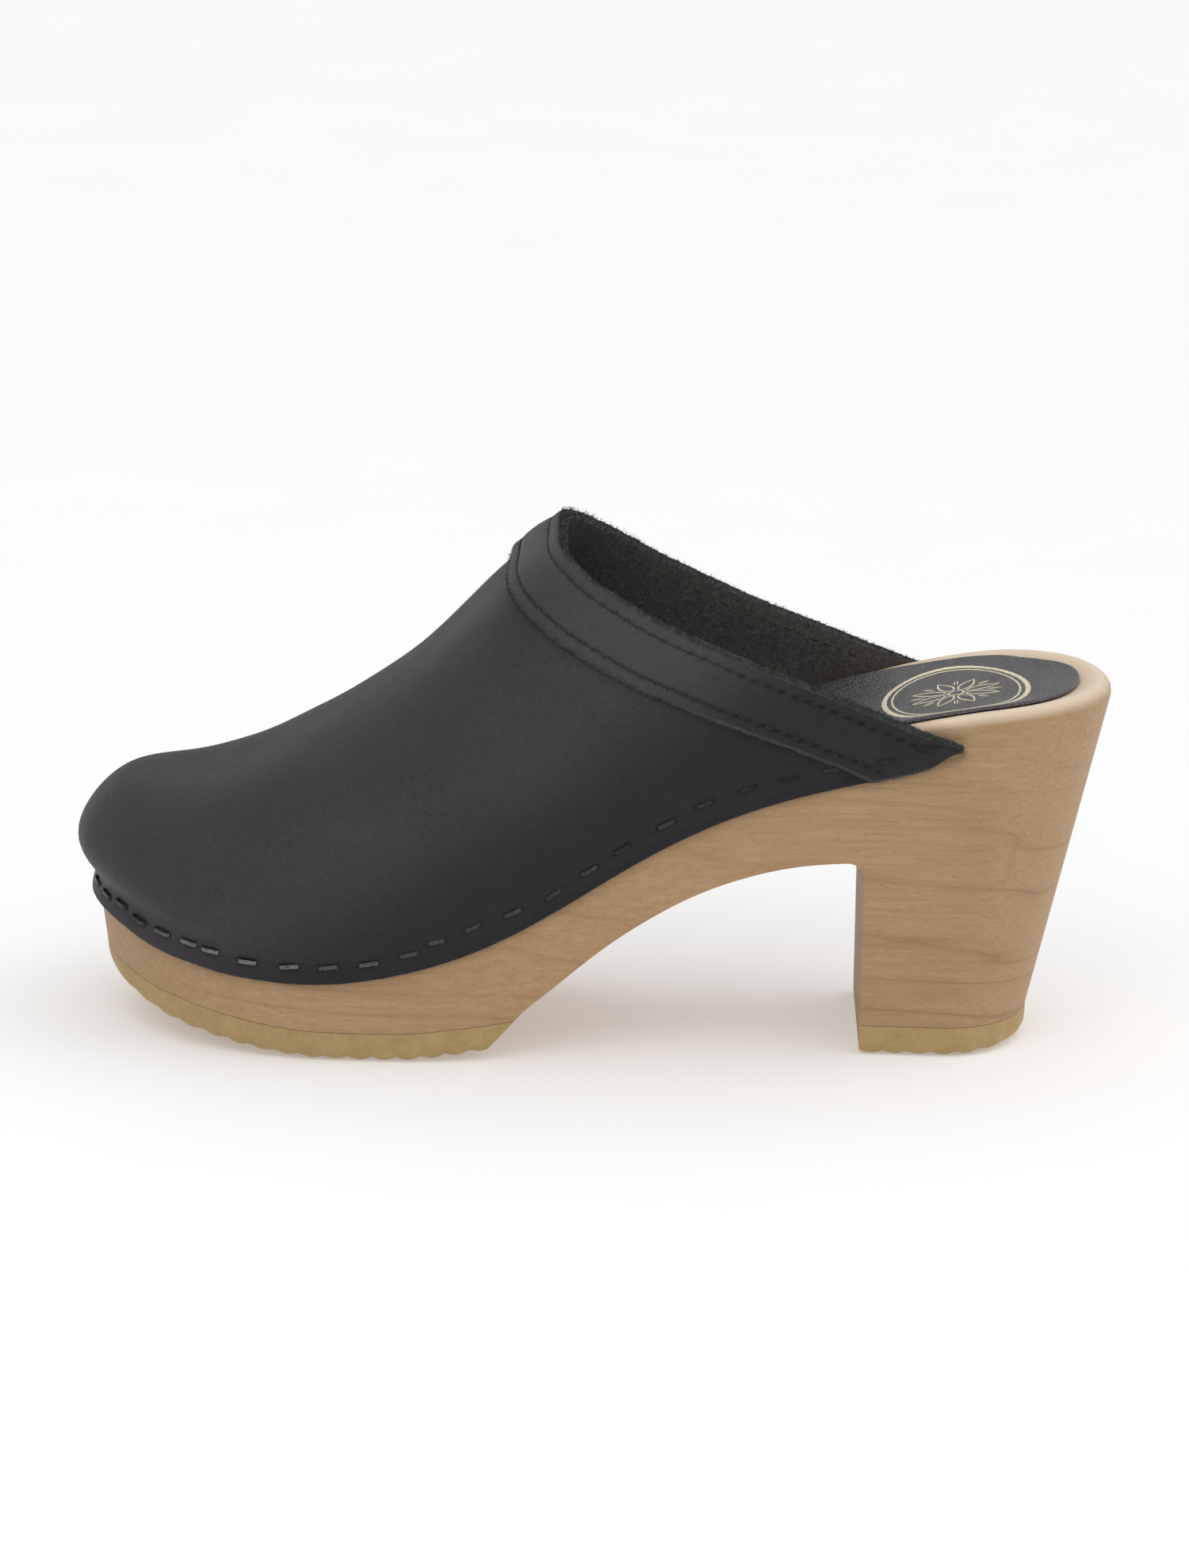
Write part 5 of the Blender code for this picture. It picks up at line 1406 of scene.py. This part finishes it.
def foil_place(across_way, toeward):
    """Foil drawing coordinates, across the clog and towards the toe, to plan x and y."""
    cos, sin = math.cos(FOIL_TILT), math.sin(FOIL_TILT)
    return (FOIL_X - toeward * cos - across_way * sin,
            FOIL_Y + across_way * cos - toeward * sin)


def rotate(x, y, angle):
    cos, sin = math.cos(angle), math.sin(angle)
    return np.stack([cos * x - sin * y, sin * x + cos * y], -1)


class Foil:
    """Drawing of thin closed plates laid on the sock."""

    def __init__(self):
        self.verts, self.faces = [], []

    def plate(self, grid):
        """Plate from a grid of drawing points."""
        rows, cols = grid.shape[:2]
        x, y = foil_place(grid[..., 0], grid[..., 1])
        z = sock_height(x, y)
        base, count = len(self.verts), rows * cols
        for lift in (0.05, -0.10):
            self.verts.extend(np.stack([x, y, z + lift], -1).reshape(-1, 3).tolist())
        for i in range(rows - 1):
            for j in range(cols - 1):
                first = base + i * cols + j
                face = [first, first + cols, first + cols + 1, first + 1]
                self.faces.append(face)
                self.faces.append([count + corner for corner in face[::-1]])
        rim = [(i, 0) for i in range(rows)] + [(rows - 1, j) for j in range(1, cols)]
        rim += [(i, cols - 1) for i in range(rows - 2, -1, -1)]
        rim += [(0, j) for j in range(cols - 2, 0, -1)]
        ids = [base + i * cols + j for i, j in rim]
        for here, ahead in zip(ids, ids[1:] + ids[:1]):
            self.faces.append([ahead, here, count + here, count + ahead])

    def oval(self, toeward, across_way, width, count=240):
        """Oval line of the given width, swept as one closed loop."""
        base = len(self.verts)
        turn = np.linspace(0, 2 * math.pi, count + 1)[:-1]
        wobble = 0.05 * np.sin(turn * 37.0) + 0.04 * np.sin(turn * 61 + 1)
        # section of the line: inset and lift
        section = ((0, 0.0), (0.06, 0.05), (width / 2, 0.06), (width - 0.06, 0.05),
                   (width, 0.0), (width, -0.10), (0, -0.10))
        for inset, lift in section:
            x, y = foil_place((across_way - inset + wobble) * np.cos(turn),
                              (toeward - inset + wobble) * np.sin(turn))
            self.verts.extend(np.stack([x, y, sock_height(x, y) + lift], 1).tolist())
        for k in range(len(section)):
            here, ahead = base + k * count, base + (k + 1) % len(section) * count
            for i in range(count):
                j = (i + 1) % count
                self.faces.append([here + i, here + j, ahead + j, ahead + i])

    def leaf(self, root, angle, length, width):
        """Pointed leaf with a split midrib."""
        share = np.linspace(0, 1, 17)
        for half in (-1, 1):
            edge = width * np.sin(math.pi * share ** 0.8) ** 0.9 * half
            rib = np.minimum(0.22, np.abs(edge)) * half
            grid = np.stack([np.array(root) + rotate(share * length, offset, angle)
                             for offset in (rib, 0.5 * (rib + edge), edge)], 1)[1:-1]
            self.plate(grid if half > 0 else grid[:, ::-1])

    def stem(self, points, width):
        """Curved line through the points, thinner at its ends."""
        points = np.array(points, float)
        run = arc_length(points)
        centre = smooth_curve(run, points)(np.linspace(0, run[-1], 40))
        tangent = unit(np.gradient(centre, axis=0))
        swell = 0.45 + 0.55 * np.sin(math.pi * np.linspace(0.12, 0.9, 40))
        reach = np.stack([-tangent[:, 1], tangent[:, 0]], 1) * (width * swell)[:, None]
        self.plate(np.stack([centre - reach, centre, centre + reach], 1))


def foil_piece():
    foil = Foil()
    foil.oval(FOIL_A, FOIL_B, 1.25)
    foil.oval(FOIL_A - 2.3, FOIL_B - 2.3, 0.5)
    # rosette: eight looped petals round a bead ring, a dart between each two
    share = np.linspace(0, 1, 12)
    for k in range(8):
        angle = math.pi * k / 4 + 0.2
        for half in (-1, 1):
            loop = half * 1.55 * np.sin(math.pi * share ** 0.75) ** 0.9
            foil.stem(rotate(2.6 + share * 8.8, loop, angle), 0.24)
        angle += math.pi / 8
        foil.leaf((7.2 * math.cos(angle), 7.2 * math.sin(angle)), angle, 4.6, 0.55)
    turn = np.linspace(0, 2 * math.pi * 0.97, 24)
    foil.stem(1.9 * np.stack([np.cos(turn), np.sin(turn)], 1), 0.30)
    # a small sprig further forward on the sock
    foil.stem([(11.5, 27.5), (17.0, 28.2), (23.0, 27.2), (28.5, 28.0)], 0.34)
    for k, place in enumerate((13.5, 16.5, 19.5, 22.5, 25.0)):
        foil.leaf((place, 27.9), 1.15 if k % 2 else -1.15, 3.6, 0.7)
    return build("sock_gilding", foil.verts, foil.faces, [FOIL], smooth=40)


gilding = foil_piece()


# ------------------------------------------------------------------- edge nap
def nap(name, seeds, dirs, length, radius, curl):
    """Loose fibres: thin closed three-sided tapers, gently curled."""
    rng = np.random.default_rng(5)
    angles = (2 * math.pi * np.arange(3) / 3)[:, None]
    verts, faces = [], []
    for root, way in zip(seeds, dirs):
        long = length * rng.uniform(0.35, 1.2)
        thick = radius * rng.uniform(0.6, 1.2)
        way = unit(way + rng.normal(0, 0.42, 3))
        first = unit(np.cross(way, rng.normal(0, 1, 3)))
        ring = np.cos(angles) * first + np.sin(angles) * np.cross(way, first)
        bend = first * rng.normal(0, curl) * long
        base = len(verts)
        for point, share in ((root - way * 0.25, 1.0),
                             (root + way * long * 0.5 + bend * 0.2, 0.8),
                             (root + way * long + bend * 0.8, 0.25)):
            verts.extend(point + thick * share * ring)
        for k in (base, base + 3):
            for i in range(3):
                j = (i + 1) % 3
                faces.append([k + i, k + j, k + 3 + j, k + 3 + i])
        faces.append([base, base + 2, base + 1])
        faces.append([base + 6, base + 7, base + 8])
    return build(name, verts, faces, [FIBRE], smooth=80)


def mouth_at(place):
    """Point, normal and climbing direction of the mouth edge at fractional columns."""
    i = place.astype(int)
    share = (place - i)[:, None]
    points = BASE[-1, i] * (1 - share) + BASE[-1, i + 1] * share
    return points, BASE_N[-1, i], unit(BASE[-1, i] - BASE[-2, i])


def edge_seeds():
    """Roots and directions of the fibres."""
    rng = np.random.default_rng(77)
    seeds, dirs = [], []
    count = len(ALONG)
    last = count - 1.001
    # mouth edge of the upper and of the band
    for inside, outside, amount in ((-LEATHER, -0.1, 3000), (GAP, PROUD, 2000)):
        points, out, up = mouth_at(rng.uniform(0, last, amount))
        offset = rng.uniform(inside, outside, amount)[:, None]
        seeds.append(points + out * (offset + flare(points, 0.0)[:, None]) - up * 0.12)
        dirs.append(up + out * rng.normal(0, 0.5, amount)[:, None])
    # the rear tips are frayed the most
    amount = 320
    points, out, up = mouth_at(np.concatenate([rng.uniform(0, count * 0.03, amount),
                                               rng.uniform(count * 0.97 - 1.001, last, amount)]))
    offset = rng.uniform(-LEATHER, PROUD, 2 * amount)[:, None] + 1.2
    seeds.append(points + out * offset - up * rng.uniform(0.1, 1.6, 2 * amount)[:, None])
    dirs.append(up + out * rng.normal(0.4, 0.5, 2 * amount)[:, None] + np.array([0.5, 0, 0]))
    # lower border of the band
    amount = 1500
    j = rng.uniform(0, last, amount).astype(int)
    points, normals = sample((LENGTH - BAND_REAL + 0.15)[None])
    up = unit(BASE[-1] - BASE[-2])[j]
    out = normals[0][j]
    seeds.append(points[0][j] + out * rng.uniform(GAP, GAP + 1.0, amount)[:, None])
    dirs.append(out - up * 0.9)
    return np.concatenate(seeds), np.concatenate(dirs)


# --------------------------------------------------------------- ties to frame
def staple_nodes(where, side):
    count = len(STAPLE_TOE[side]) + len(STAPLE_X[side])
    return ["staple_%s_%02d" % (where, k + 1) for k in range(count)]


# piece, slot, then the frame nodes it replaces
PIECES = [
    (wood, "wood", "wood_base"),
    (front_sole, "rubber", "front_outsole"),
    (heel_sole, "rubber", "heel_top_piece"),
    (upper, "leather", "leather_upper"),
    (band, "leather", "collar_band"),
    (sock, "sock", "insole_sock"),
    (gilding, "sock"),
    (upper_seam, "thread", "upper_seam_needle_thread"),
    (lower_seam, "thread", "lower_seam_needle_thread"),
    (upper_inner, "thread", "upper_seam_bobbin_thread"),
    (lower_inner, "thread", "lower_seam_bobbin_thread"),
    (near_staples, "steel", *staple_nodes("near", -1)),
    (far_staples, "steel", *staple_nodes("far", 1))]
fibres = nap("edge_nap", *edge_seeds(), length=0.85, radius=0.075, curl=0.7)
PIECES.append((fibres, "leather"))
for piece, slot, *nodes in PIECES:
    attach(piece, "root")
    if nodes:
        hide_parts(*nodes)

puff = bpy.data.objects["toe_puff"]
puff.data.materials.clear()
puff.data.materials.append(BOARD)

# --------------------------------------------------------- studio, in metres
scene = bpy.context.scene
# soft surround: axis, sign and brightness of the light from each side
SURROUND = {"left": (0, -1, 0.26), "right": (0, 1, 1.07), "front": (1, -1, 0.40),
            "back": (1, 1, 0.45), "top": (2, 1, 0.97)}


def surround_world():
    """World lit by the surround, but plain white to the camera."""
    world = bpy.data.worlds.new("studio")
    scene.world = world
    world.use_nodes = True
    tree = world.node_tree
    background = tree.nodes["Background"]

    def calc(operation, *values):
        node = tree.nodes.new("ShaderNodeMath")
        node.operation = operation
        for value, socket in zip(values, node.inputs):
            if isinstance(value, bpy.types.NodeSocket):
                tree.links.new(value, socket)
            else:
                socket.default_value = value
        return node.outputs[0]

    axes = tree.nodes.new("ShaderNodeSeparateXYZ")
    coords = tree.nodes.new("ShaderNodeTexCoord")
    tree.links.new(coords.outputs["Generated"], axes.inputs[0])
    light = 0.0
    for name, (axis, sign, level) in SURROUND.items():
        lobe = calc('MAXIMUM', calc('MULTIPLY', axes.outputs[axis], float(sign)), 0.0)
        share = calc('MULTIPLY', calc('MULTIPLY', lobe, lobe), level)
        share.node.name = "lobe_" + name
        light = calc('ADD', light, share)
    camera_ray = tree.nodes.new("ShaderNodeLightPath").outputs["Is Camera Ray"]
    hidden = calc('MULTIPLY', light, calc('SUBTRACT', 1.0, camera_ray))
    background.inputs[0].default_value = (1, 1, 1, 1)
    tree.links.new(calc('ADD', hidden, camera_ray), background.inputs[1])


def soft_light(name, place, target, size, power):
    light = bpy.data.lights.new(name, 'AREA')
    light.energy = power
    light.shape = 'SQUARE'
    light.size = size
    lamp = bpy.data.objects.new(name, light)
    lamp.location = place
    aim = Vector(target) - Vector(place)
    lamp.rotation_euler = aim.to_track_quat('-Z', 'Y').to_euler()
    scene.collection.objects.link(lamp)


def studio_floor():
    # just under the sole, so the two faces do not coincide
    bpy.ops.mesh.primitive_plane_add(size=14.0, location=(0, 0, -0.0004))
    floor = bpy.context.object
    floor.name = "studio_floor"
    floor.data.materials.append(mat_floor())


def camera(elevation, roll, distance, target_z, lens):
    """Camera on the near side, looking down at the clog by the elevation."""
    back = Vector((0.0, -math.cos(elevation), math.sin(elevation)))
    right = Vector((1.0, 0.0, 0.0))
    up = back.cross(right)
    rolled_right = right * math.cos(roll) + up * math.sin(roll)
    rolled_up = -right * math.sin(roll) + up * math.cos(roll)
    data = bpy.data.cameras.new("camera")
    data.lens = lens
    data.sensor_width = 36.0
    data.sensor_fit = 'AUTO'
    data.clip_start, data.clip_end = 0.01, 50
    holder = bpy.data.objects.new("camera", data)
    matrix = Matrix((rolled_right, rolled_up, back)).transposed().to_4x4()
    matrix.translation = Vector((0, 0, target_z)) + back * distance
    holder.matrix_world = matrix
    scene.collection.objects.link(holder)
    scene.camera = holder


surround_world()
soft_light("soft_front", place=(-0.3, -0.9, 0.9), target=(0, 0, 0.06), size=0.9, power=2.4)
studio_floor()
camera(elevation=math.radians(15.0), roll=math.radians(1.1), distance=2.0, target_z=0.059,
       lens=187.63)
scene.view_settings.view_transform = 'Standard'
scene.view_settings.look = 'None'
